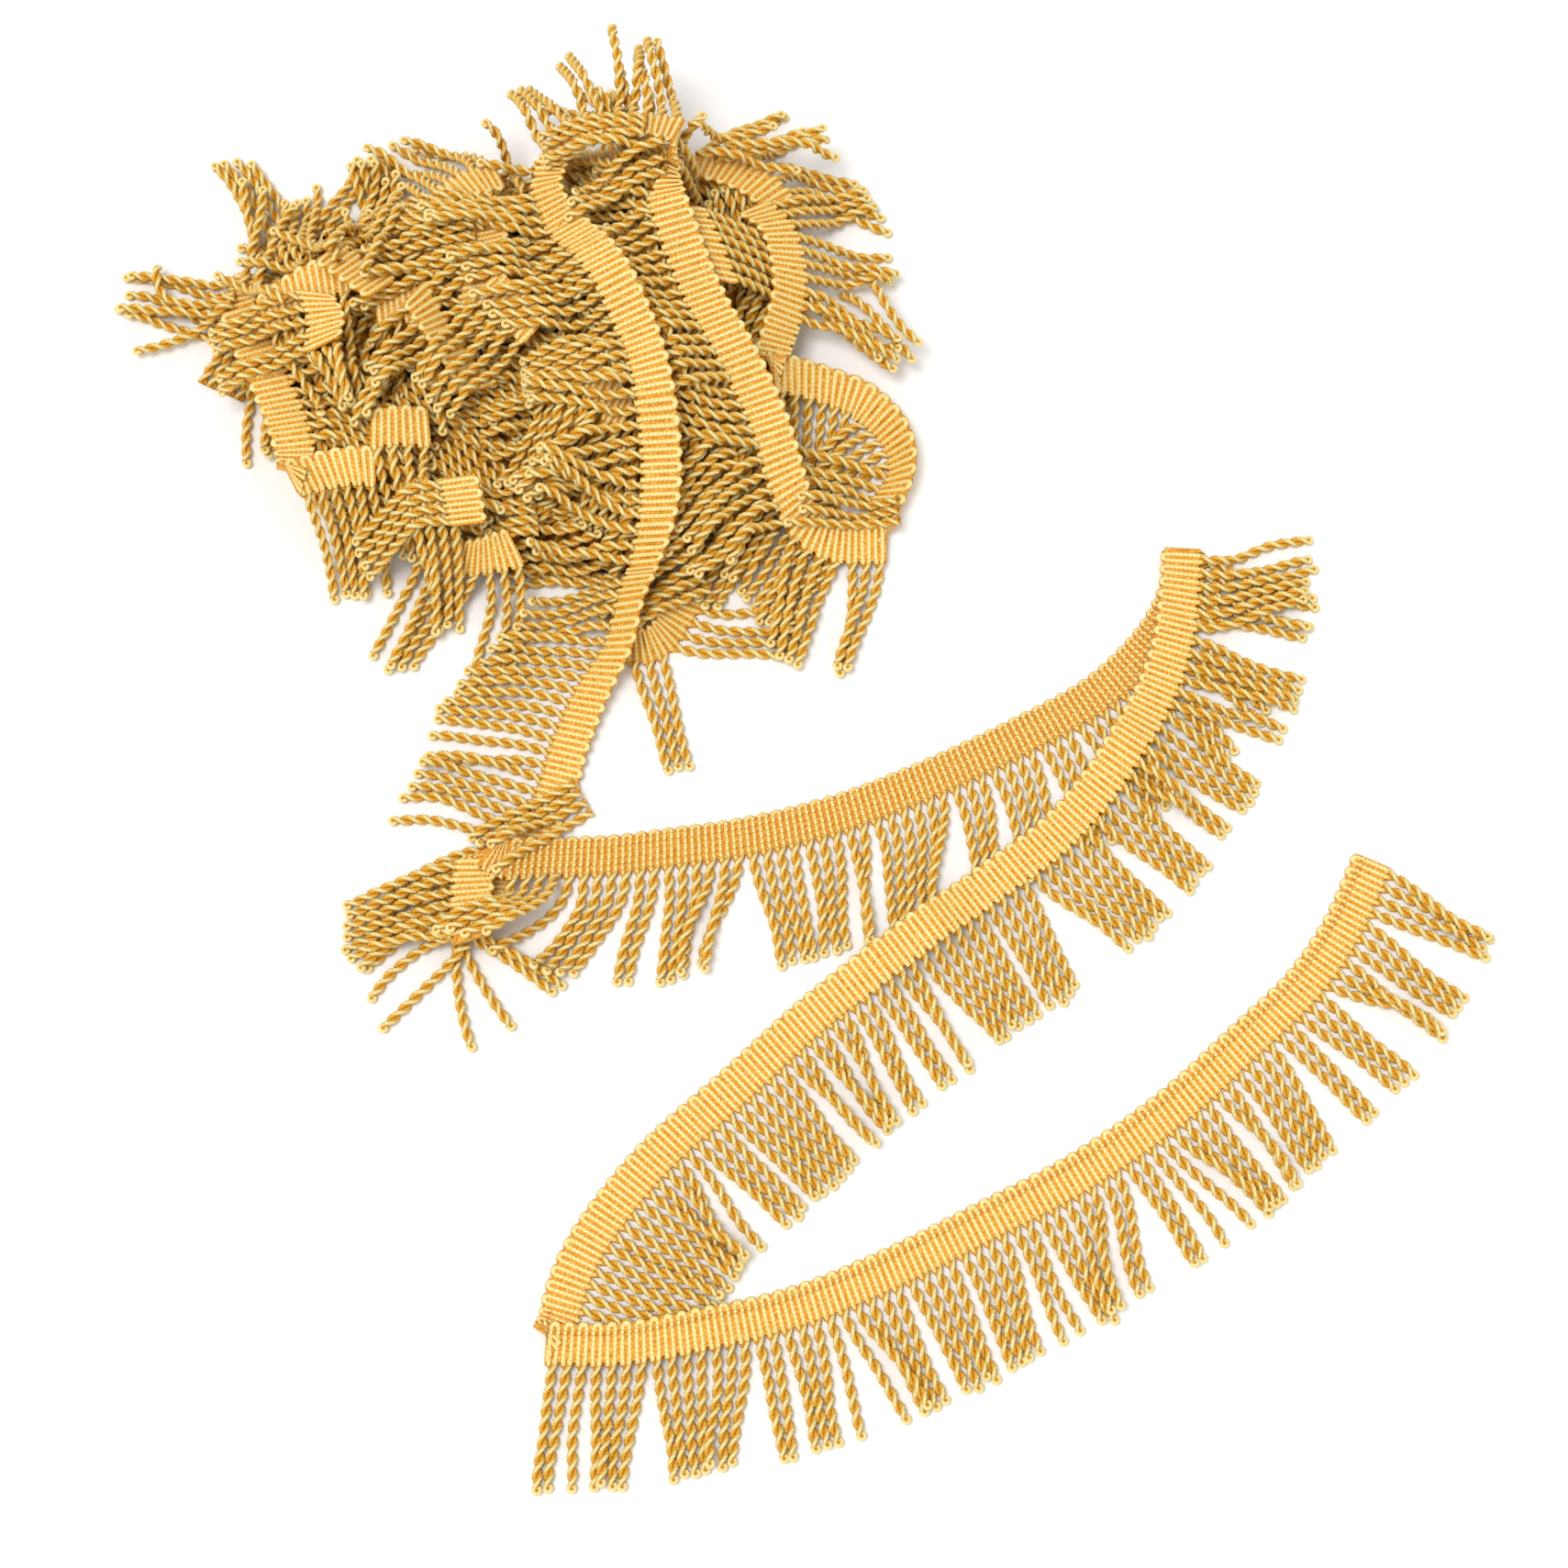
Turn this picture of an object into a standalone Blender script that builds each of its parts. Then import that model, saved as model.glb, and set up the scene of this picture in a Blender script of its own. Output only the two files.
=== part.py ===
"""Fringe trim: a length of twisted bullion fringe, part of it in a tangled heap, the rest in zigzag runs.

The tables are in millimetres, on a floor at z = 0, with +X to the right and +Y away from the viewer.
The heading is a flat knitted band. Its hairpin edge is the closed edge, and the cords hang from the other.
Each strip of trim is laid in turn on whatever already lies under it, from the inner turns of the heap to
the free end.
"""

import math
from collections import namedtuple

import bmesh
import bpy
import numpy as np

MM = 0.001

# The trim
HEADING_WIDTH = 12.6
HEADING_THICKNESS = 1.8
FOLD_HEIGHT = 3.0
FOLD_STEPS = 5
LEAST_CREASE_TURN = 0.3
ROOT_STRIP_WIDTH = 1.6
ROOT_STRIP_HEIGHT = 2.0
CORD_LENGTH = 35.5
CORD_THICKNESS = 2.6
TIP_THICKNESS = 1.9

# The locks that the cords cling in
LOCK_FILL = 0.90
LOCK_TOP = 0.66
LOCK_TIP = 0.86
LOCK_RINGS = (0.30, 0.66, 1.0)
LEAST_LOCK_WIDTH = 1.6
WIDEST_LOCK = 11.0
SWAY_DEGREES = 5.0
SWAY_LENGTH = 0.05

# Room between pieces that touch, and how far a comb of cords stops short of a fold in the band
PARTING = 0.35
LAYING_GAP = 0.4
COMB_SHORTENING = 1.0

# How steeply a cord may climb from its band
STEEPEST_CORD = 0.9

# The plan is shifted by this much, so that the whole part is centred on its origin
CENTRE_X = 1.43
CENTRE_Y = 13.76

# A row of a strip: x and y of the hairpin edge, the compass direction (degrees) in which the band runs from
# its hairpins to its cords, how much higher the hairpin edge lies than the cord edge, and the direction of
# the cord tips
Row = namedtuple("Row", "x y aim rise hang")

# A strip: its name, how it joins the one before it ("start", "on" or "fold"), its lock pitch, and its rows
Strip = namedtuple("Strip", "name joint pitch rows")

LONG_STRIP = (
    Strip("upper", "start", 8.5, (
        Row(-11, 180, 35, 2, 34),
        Row(-3, 174, 20, 2, 12),
        Row(1, 165, 5, 2, -8),
        Row(2, 156, -5, 3, -24),
        Row(-2, 148, -8, 6, -38),
    )),
    Strip("loop", "fold", 8.5, (
        Row(-4, 136, -86, 2, -94),
        Row(5, 138, -90, 2, -95),
        Row(15, 137, -95, 2, -97),
        Row(26, 133, -112, 3, -99),
    )),
    Strip("loop_side", "on", 11.0, (
        Row(31, 129, -128, 4, -164),
        Row(38, 120, -146, 7, -166),
        Row(42, 108, -168, 9, -169),
        Row(41, 97, -184, 8, -172),
        Row(37, 88, -196, 6, -175),
    )),
    Strip("second", "fold", 9.0, (
        Row(32, 84, -90, 1, -90),
        Row(22, 84, -91, 1, -93),
        Row(14, 85, -108, 3, -103),
        Row(9, 90, -146, 5, -122),
        Row(6, 99, -160, 3, -136),
        Row(2, 111, -163, 2, -148),
        Row(-3, 122, -162, 2, -156),
        Row(-10, 134, -160, 2, -163),
        Row(-17, 146, -162, 2, -169),
        Row(-24, 162, -165, 2, -173),
        Row(-30, 177, -170, 3, -177),
    )),
    Strip("crest", "fold", 7.0, (
        Row(-35, 192, 70, 6, 62),
        Row(-46, 197, 95, 8, 92),
        Row(-58, 197, 118, 8, 124),
        Row(-67, 191, 145, 7, 156),
    )),
    Strip("top", "on", 9.0, (
        Row(-69, 182, 176, 8, 178),
        Row(-66, 175, 192, 8, 184),
        Row(-60, 169, 204, 4, 186),
        Row(-54, 162, 206, 2, 186),
        Row(-44, 146, 205, 2, 183),
        Row(-36, 126, 197, 2, 178),
        Row(-32, 106, 182, 2, 175),
        Row(-31, 88, 178, 3, 172),
        Row(-33, 75, 174, 5, 172),
        Row(-38, 63, 170, 8, 176),
    )),
    Strip("run_0", "on", 9.0, (
        Row(-39, 61, 170, 8, 176),
        Row(-43, 52, 169, 9, 180),
        Row(-46, 41, 168, 8, 183),
        Row(-53, 28, 164, 5, 183),
        Row(-60, 10, 163, 3, 186),
        Row(-64, -5, 164, 1, 184),
        Row(-69, -15, 167, 0, 184),
        Row(-77, -25, 172, 0, 190),
        Row(-84, -35, 180, 0, 206),
        Row(-87, -44, 188, 0, 232),
        Row(-88, -50, 194, 0, 268),
    )),
    Strip("turn", "fold", 7.0, (
        Row(-88, -49, 196, 1, 226),
        Row(-88, -41, 186, 1, 208),
        Row(-88, -33, 181, 1, 194),
        Row(-87, -26, 178, 1, 176),
    )),
    Strip("run_1", "fold", 9.6, (
        Row(-84, -20, 264, 1, 236),
        Row(-75, -18, 265, 1, 242),
        Row(-64, -17, 267, 0, 250),
        Row(-44, -15, 270, 0, 258),
        Row(-15, -11, 275, 0, 271),
        Row(13, -4, 282, 0, 279),
        Row(41, 7, 290, 0, 281),
    )),
    Strip("run_1_end", "on", 9.6, (
        Row(43, 8, 290, 0, 281),
        Row(70, 21, 296, 0, 284),
        Row(93, 34, 304, 0, 291),
        Row(106, 46, 314, 0, 302),
        Row(114, 57, 330, 0, 327),
        Row(118, 67, 348, 0, 350),
        Row(119, 75, 357, 0, 365),
    )),
    Strip("run_2", "fold", 9.6, (
        Row(118, 75, -3, 0, 26),
        Row(117, 63, -8, 1, 9),
        Row(115, 48, -15, 1, -9),
        Row(110, 33, -22, 1, -21),
        Row(102, 18, -32, 1, -31),
        Row(92, 3, -40, 0, -39),
    )),
    Strip("run_2_middle", "on", 9.6, (
        Row(90.5, 1, -41, 0, -40),
        Row(78, -13, -48, 0, -46),
        Row(58, -28, -52, 0, -50),
        Row(35, -45, -54, 0, -53),
        Row(7, -66, -51, 0, -53),
    )),
    Strip("run_2_end", "on", 9.6, (
        Row(5.5, -67.4, -51, 0, -53),
        Row(-20, -91, -47, 0, -50),
        Row(-45, -114, -42, 0, -45),
        Row(-64, -139, -30, 0, -36),
        Row(-71, -154, -20, 0, -26),
        Row(-73, -162, -16, 0, -20),
    )),
    Strip("run_3", "fold", 9.6, (
        Row(-70, -167, -95, 0, -88),
        Row(-48, -167, -90, 0, -88),
        Row(-26, -163, -82, 0, -84),
        Row(2, -156, -75, 0, -78),
        Row(29, -145, -68, 0, -71),
        Row(57, -131, -63, 0, -66),
    )),
    Strip("run_3_end", "on", 9.6, (
        Row(58.8, -130, -63, 0, -66),
        Row(84, -117, -60, 0, -62),
        Row(113, -97, -54, 0, -57),
        Row(135, -77, -49, 0, -50),
        Row(153, -60, -41, 0, -43),
        Row(165, -43, -32, 0, -33),
        Row(175, -22, -24, 0, -22),
    )),
)

# Where other turns of the same trim come out of the heap, from the floor up
LOOSE_STRIPS = (
    Strip("west", "start", 7.0, (
        Row(-164, 164, 160, 6, 152),
        Row(-167, 156, 180, 7, 178),
        Row(-165, 148, 200, 6, 200),
    )),
    Strip("north_west", "start", 7.0, (
        Row(-166, 168, 115, 7, 112),
        Row(-157, 172, 95, 9, 96),
        Row(-147, 170, 80, 9, 82),
    )),
    Strip("saddle", "start", 7.0, (
        Row(-134, 168, 100, 5, 96),
        Row(-124, 170, 85, 5, 78),
        Row(-114, 168, 75, 5, 66),
    )),
    Strip("north", "start", 7.5, (
        Row(-106, 178, 140, 4, 150),
        Row(-98, 186, 125, 5, 128),
        Row(-88, 191, 112, 5, 118),
    )),
    Strip("north_east", "start", 7.5, (
        Row(-30, 195, 78, 5, 74),
        Row(-20, 193, 62, 5, 56),
        Row(-11, 188, 48, 4, 34),
        Row(-5, 180, 28, 4, 14),
    )),
    Strip("east", "start", 8.5, (
        Row(-38, 176, 4, 3, -2),
        Row(-32, 165, -2, 3, -10),
        Row(-27, 154, -6, 3, -18),
    )),
    Strip("knot", "start", 7.0, (
        Row(-106, 79, 215, 5, 222),
        Row(-100, 75, 240, 8, 245),
        Row(-93, 74, 268, 9, 270),
        Row(-86, 76, 300, 6, 305),
    )),
    Strip("foot", "start", 7.5, (
        Row(-48, 50, 262, 7, 262),
        Row(-43, 48, 296, 9, 300),
        Row(-40, 53, 336, 8, 340),
        Row(-37, 61, 350, 5, 346),
    )),
    Strip("left", "start", 9.0, (
        Row(-178, 148, 25, 3, 8),
        Row(-174, 137, 22, 2, 2),
        Row(-168, 124, 18, 2, -8),
        Row(-162, 110, 14, 2, -20),
        Row(-159, 101, 10, 2, -32),
    )),
    Strip("left_foot", "fold", 9.0, (
        Row(-156, 97, -62, 1, -78),
        Row(-147, 101, -66, 1, -82),
        Row(-137, 103, -76, 1, -86),
        Row(-127, 102, -88, 2, -92),
    )),
    Strip("coil", "start", 8.0, (
        Row(-128, 113, -92, 3, -104),
        Row(-120, 115, -88, 3, -90),
        Row(-111, 115, -84, 3, -78),
    )),
    Strip("crown", "start", 9.5, (
        Row(-166, 151, -70, 3, -84),
        Row(-156, 157, -74, 3, -82),
        Row(-146, 161, -80, 3, -80),
        Row(-136, 162, -86, 3, -78),
    )),
    Strip("lower", "start", 8.5, (
        Row(-118, 88, -78, 2, -104),
        Row(-109, 90, -86, 2, -96),
        Row(-99, 90, -94, 2, -88),
    )),
    Strip("drape", "start", 8.5, (
        Row(-128, 152, -84, 3, -112),
        Row(-118, 154, -80, 3, -98),
        Row(-108, 154, -86, 3, -84),
    )),
    Strip("under_top", "start", 9.0, (
        Row(-78, 182, 176, 3, 188),
        Row(-84, 170, 186, 3, 196),
        Row(-88, 158, 190, 3, 204),
        Row(-88, 146, 184, 3, 210),
        Row(-84, 134, 186, 3, 216),
    )),
    Strip("inner", "start", 8.5, (
        Row(-94, 90, 184, 3, 204),
        Row(-92, 82, 182, 3, 212),
        Row(-91, 74, 178, 5, 226),
    )),
    Strip("ear", "start", 7.5, (
        Row(-140, 148, 165, 3, 160),
        Row(-136, 142, 182, 4, 184),
        Row(-137, 134, 200, 4, 208),
    )),
    Strip("ridge", "start", 7.5, (
        Row(-118, 141, 58, 5, 30),
        Row(-113, 134, 46, 8, 12),
        Row(-106, 124, 36, 8, -6),
        Row(-100, 115, 28, 5, -22),
    )),
    Strip("tuft", "start", 7.5, (
        Row(-146, 156, 52, 5, 100),
        Row(-138, 150, 48, 6, 74),
        Row(-129, 143, 46, 5, 44),
    )),
    Strip("slope", "start", 8.5, (
        Row(-76, 128, 268, 3, 236),
        Row(-64, 127, 256, 3, 232),
        Row(-53, 120, 248, 3, 226),
        Row(-46, 112, 244, 3, 222),
    )),
    Strip("shoulder", "start", 8.5, (
        Row(-88, 154, 222, 3, 218),
        Row(-79, 147, 224, 3, 222),
        Row(-72, 139, 228, 3, 228),
    )),
)

# The heap's wound form: swellings of the pile, by centre, reach along X and Y, and height
Swelling = namedtuple("Swelling", "x y reach_x reach_y height")
SWELLINGS = (
    Swelling(-42, 145, 50, 62, 36),
    Swelling(-44, 92, 42, 50, 20),
    Swelling(-82, 148, 52, 56, 25),
    Swelling(-143, 146, 42, 42, 21),
    Swelling(-100, 98, 56, 40, 16),
    Swelling(-140, 112, 38, 36, 12),
)
SWELLING_BLEND = 4.0

# The heap's outline on the floor, seen from above
OutlinePoint = namedtuple("OutlinePoint", "x y")
HEAP_OUTLINE = (
    OutlinePoint(-172, 160),
    OutlinePoint(-152, 178),
    OutlinePoint(-124, 172),
    OutlinePoint(-102, 186),
    OutlinePoint(-66, 196),
    OutlinePoint(-30, 194),
    OutlinePoint(-6, 178),
    OutlinePoint(0, 150),
    OutlinePoint(-2, 122),
    OutlinePoint(-6, 98),
    OutlinePoint(-22, 76),
    OutlinePoint(-44, 62),
    OutlinePoint(-72, 66),
    OutlinePoint(-104, 72),
    OutlinePoint(-134, 84),
    OutlinePoint(-156, 106),
    OutlinePoint(-170, 134),
)
HEAP_MIDDLE = (-84.0, 130.0)
HEAP_RIM_HEIGHT = 4.0
HEAP_RINGS = 11
HEAP_SPOKES_PER_POINT = 3
HEAP_CLEARANCE = 0.4
TWIST_HEIGHT = 1.3
TWIST_LENGTH = 15.0
TWIST_TURN = 0.035

# The map of what already lies on the floor
MAP_CELL = 1.0
MAP_REACH = 260
PATCH_STEP = 0.7
PATCH_MARGIN = 0.9

GOLD_BAND = (0.90, 0.47, 0.09, 1.0)
GOLD_CORDS = (0.84, 0.42, 0.07, 1.0)
GOLD_HEAP = (0.70, 0.32, 0.04, 1.0)


class Ground:
    """A height map of all that has been laid down so far, starting from the bare floor."""

    def __init__(self):
        size = int(2 * MAP_REACH / MAP_CELL)
        self.height = np.zeros((size, size))

    def cells(self, x, y):
        last = self.height.shape[0] - 1
        i = np.clip(((x + MAP_REACH) / MAP_CELL).astype(int), 0, last)
        j = np.clip(((y + MAP_REACH) / MAP_CELL).astype(int), 0, last)
        return i, j

    def cover(self, corners):
        """Raises the map to a four-cornered patch; corners are (x, y, z), in order around it."""
        x, y, z, _, _ = spread(corners, PATCH_MARGIN)
        i, j = self.cells(x, y)
        np.maximum.at(self.height, (i, j), z)

    def under(self, corners):
        """The heights below a patch, with each sample's place from 0 to 1 along the patch's two ways."""
        x, y, _, u, v = spread(corners, PATCH_MARGIN)
        i, j = self.cells(x, y)
        return self.height[i, j], u, v


def spread(corners, margin):
    """Samples all over a patch and just past its edges; u runs from corner 0 to 3, v from corner 0 to 1."""
    a, b, c, d = (np.array(corner, float) for corner in corners)
    long_u = max(np.linalg.norm(d[:2] - a[:2]), np.linalg.norm(c[:2] - b[:2]), 0.1)
    long_v = max(np.linalg.norm(b[:2] - a[:2]), np.linalg.norm(c[:2] - d[:2]), 0.1)
    over_u = margin / long_u
    over_v = margin / long_v
    count_u = int((long_u + 2 * margin) / PATCH_STEP) + 2
    count_v = int((long_v + 2 * margin) / PATCH_STEP) + 2
    u, v = np.meshgrid(np.linspace(-over_u, 1 + over_u, count_u), np.linspace(-over_v, 1 + over_v, count_v))
    u = u.ravel()
    v = v.ravel()
    held_u = np.clip(u, 0, 1)
    held_v = np.clip(v, 0, 1)
    near = np.outer(1 - v, a) + np.outer(v, b)
    far = np.outer(1 - v, d) + np.outer(v, c)
    points = near * (1 - u)[:, None] + far * u[:, None]
    near_level = a[2] * (1 - held_v) + b[2] * held_v
    far_level = d[2] * (1 - held_v) + c[2] * held_v
    level = near_level * (1 - held_u) + far_level * held_u
    return points[:, 0], points[:, 1], level, held_u, held_v


def compass(degrees):
    """Unit vector on the floor."""
    return np.array([math.cos(math.radians(degrees)), math.sin(math.radians(degrees))])


def smooth_rows(rows, pitch):
    """Stations about one pitch apart on a smooth curve through a strip's rows."""
    table = np.array(rows, float)
    middle = table[:, :2] + 0.5 * HEADING_WIDTH * np.array([compass(row.aim) for row in rows])
    knots = np.concatenate([[0], np.cumsum(np.sqrt(np.linalg.norm(np.diff(middle, axis=0), axis=1)))])
    fine = np.linspace(0, knots[-1], 40 * len(rows))
    slopes = np.gradient(table, knots, axis=0)
    dense = np.empty((len(fine), table.shape[1]))
    for n, t in enumerate(fine):
        k = min(int(np.searchsorted(knots, t, side="right")) - 1, len(rows) - 2)
        span = knots[k + 1] - knots[k]
        f = (t - knots[k]) / span
        dense[n] = (
            (2 * f**3 - 3 * f**2 + 1) * table[k]
            + (f**3 - 2 * f**2 + f) * span * slopes[k]
            + (3 * f**2 - 2 * f**3) * table[k + 1]
            + (f**3 - f**2) * span * slopes[k + 1]
        )
    dense[:, 3] = np.clip(dense[:, 3], 0, 0.96 * HEADING_WIDTH)
    way = dense[:, :2] + 0.6 * HEADING_WIDTH * np.array([compass(aim) for aim in dense[:, 2]])
    length = np.concatenate([[0], np.cumsum(np.linalg.norm(np.diff(way, axis=0), axis=1))])
    count = max(2, round(length[-1] / pitch))
    at = np.linspace(0, length[-1], count + 1)
    return np.stack([np.interp(at, length, dense[:, c]) for c in range(dense.shape[1])], axis=1)


def band_edges(stations, low):
    """Mid-plane points of the hairpin edge and the cord edge, whose underside is at height low."""
    hairpins = []
    cord_edge = []
    for (x, y, aim, rise, _), z in zip(stations, low):
        reach = math.sqrt(HEADING_WIDTH**2 - rise**2)
        level = z + 0.5 * HEADING_THICKNESS
        end = np.array([x, y]) + reach * compass(aim)
        hairpins.append((x, y, level + rise))
        cord_edge.append((*end, level))
    return np.array(hairpins), np.array(cord_edge)


def resting_heights(stations, ground, lowest):
    """How high each station's cord edge lies, so that band and lock roots clear what is under them."""
    reach = np.sqrt(HEADING_WIDTH**2 - stations[:, 3] ** 2)
    start = stations[:, :2]
    aims = np.array([compass(aim) for aim in stations[:, 2]])
    comb = ROOT_STRIP_WIDTH + 2 * PARTING
    root_reach = comb + LOCK_RINGS[0] * CORD_LENGTH
    need = np.zeros(len(stations))
    for k in range(len(stations) - 1):
        a = (*start[k], 0)
        d = (*start[k + 1], 0)
        b = (*(start[k] + (reach[k] + root_reach) * aims[k]), 0)
        c = (*(start[k + 1] + (reach[k + 1] + root_reach) * aims[k + 1]), 0)
        height, along, across = ground.under((a, b, c, d))
        rise = stations[k, 3] * (1 - along) + stations[k + 1, 3] * along
        band = 1 + root_reach / (reach[k] * (1 - along) + reach[k + 1] * along)
        beyond = (across * band - 1) * (reach[k] * (1 - along) + reach[k + 1] * along) - comb
        wanted = height - rise * np.clip(1 - across * band, 0, 1) - STEEPEST_CORD * np.clip(beyond, 0, None)
        if height.max() > 0:
            top = wanted.max() + LAYING_GAP
            need[k] = max(need[k], top)
            need[k + 1] = max(need[k + 1], top)
    need[0] = max(need[0], lowest)
    low = need.copy()
    for _ in range(4):
        padded = np.concatenate([low[:1], low, low[-1:]])
        low = np.maximum(need, (padded[:-2] + 2 * padded[1:-1] + padded[2:]) / 4)
    low[low < 0.25] = 0.0
    return np.maximum(low, need)


def crease_point(a, way_a, b, way_b):
    """Where an edge that leaves a meets itself coming back to b; midway where the two run side by side."""
    turn = way_a[0] * way_b[1] - way_a[1] * way_b[0]
    if abs(turn) > LEAST_CREASE_TURN:
        gap = b - a
        out = (gap[0] * way_b[1] - gap[1] * way_b[0]) / turn
        if 0 <= out <= 2 * HEADING_WIDTH and np.dot(b[:2] - (a[:2] + out * way_a[:2]), way_b[:2]) >= 0:
            return a[:2] + out * way_a[:2]
    return 0.5 * (a[:2] + b[:2])


def fold_between(before, after):
    """Stations of a band that folds over on itself: pairs of edge points round the crease."""
    (pin_a, cord_a, way_a), (pin_b, cord_b, way_b) = before, after
    outward = (way_a - way_b)[:2]
    outward = outward / max(np.linalg.norm(outward), 1e-6)
    pin = crease_point(pin_a, way_a, pin_b, way_b)
    cord = crease_point(cord_a, way_a, cord_b, way_b)
    stations = []
    for step in range(FOLD_STEPS):
        turn = math.pi * step / (FOLD_STEPS - 1)
        share = (1 - math.cos(turn)) / 2
        pair = []
        for place, start, end in ((pin, pin_a, pin_b), (cord, cord_a, cord_b)):
            bulge = 0.5 * FOLD_HEIGHT * math.sin(turn)
            pair.append(np.array([*(place + outward * bulge), start[2] * (1 - share) + end[2] * share]))
        stations.append(tuple(pair))
    return stations


def lock_routes(stations, outer):
    """For each lock of a strip: where its centre line goes, ring by ring, and how wide it may be there."""
    count = len(stations) - 1
    centres = np.zeros((count, len(LOCK_RINGS) + 1, 2))
    aims = np.zeros((count, len(LOCK_RINGS) + 1))
    for k in range(count):
        aim = 0.5 * (stations[k, 2] + stations[k + 1, 2])
        hang = 0.5 * (stations[k, 4] + stations[k + 1, 4])
        hang += SWAY_DEGREES * (math.sin(0.9 * k + 0.5 * count) + 0.4 * math.sin(2.4 * k))
        length = CORD_LENGTH * (1 + SWAY_LENGTH * math.sin(3.7 * k + 1.0))
        centres[k, 0] = 0.5 * (outer[k] + outer[k + 1])
        aims[k, 0] = aim
        done = 0.0
        for r, share in enumerate(LOCK_RINGS, 1):
            bend = aim + (hang - aim) * min(1.0, 0.35 + 0.5 * r)
            centres[k, r] = centres[k, r - 1] + (share - done) * length * compass(bend)
            aims[k, r] = bend
            done = share
    widths = np.zeros((count, len(LOCK_RINGS) + 1))
    for k in range(count):
        for r in range(1, len(LOCK_RINGS) + 1):
            side = compass(aims[k, r] + 90)
            room = [WIDEST_LOCK]
            for other in (k - 1, k + 1):
                if 0 <= other < count:
                    room.append(abs(np.dot(centres[other, r] - centres[k, r], side)))
            widths[k, r] = max(LEAST_LOCK_WIDTH, LOCK_FILL * min(room))
        widths[k, -1] *= LOCK_TIP
    return centres, aims, widths


def lock_heights(corner_rows, root_low, ground):
    """Lowest heights of a lock's rings that clear the ground all along it, the root being fixed."""
    heights = [root_low] + [0.0] * (len(corner_rows) - 1)
    spans = []
    for r in range(len(corner_rows) - 1):
        (a, b), (d, c) = corner_rows[r], corner_rows[r + 1]
        height, along, _ = ground.under(((*a, 0), (*b, 0), (*c, 0), (*d, 0)))
        needed = np.where(height > 0, height + LAYING_GAP, 0)
        spans.append((needed, along))
        end = needed[along > 0.8].max()
        heights[r + 1] = max(heights[r + 1], end)
    for r, (needed, along) in enumerate(spans):
        line = heights[r] * (1 - along) + heights[r + 1] * along
        short = needed - line
        if r == 0:
            free = along > 0.25
            if (short[free] > 0).any():
                heights[1] += (short[free] / along[free]).max()
        elif short.max() > 0:
            heights[r] += short.max()
            heights[r + 1] += short.max()
    return heights


def make_mesh_object(name, points, faces, collection, material):
    """A closed solid from points in millimetres, centred on the part's origin."""
    mesh = bpy.data.meshes.new(name)
    shift = np.array([CENTRE_X, CENTRE_Y, 0])
    mesh.from_pydata([tuple((np.array(p) - shift) * MM) for p in points], [], faces)
    shape = bmesh.new()
    shape.from_mesh(mesh)
    bmesh.ops.recalc_face_normals(shape, faces=shape.faces)
    shape.to_mesh(mesh)
    shape.free()
    mesh.materials.append(material)
    made = bpy.data.objects.new(name, mesh)
    collection.objects.link(made)
    return made


def make_heading(name, pairs, collection, material):
    """The band: an open surface between its two edges, given its thickness by Solidify."""
    points = [point for pair in pairs for point in pair]
    faces = [(2 * k, 2 * k + 1, 2 * k + 3, 2 * k + 2) for k in range(len(pairs) - 1)]
    mesh = bpy.data.meshes.new(name)
    shift = np.array([CENTRE_X, CENTRE_Y, 0])
    mesh.from_pydata([tuple((np.array(p) - shift) * MM) for p in points], [], faces)
    mesh.materials.append(material)
    band = bpy.data.objects.new(name, mesh)
    collection.objects.link(band)
    thick = band.modifiers.new("thickness", "SOLIDIFY")
    thick.thickness = HEADING_THICKNESS * MM
    thick.offset = 0.0
    return band


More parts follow.
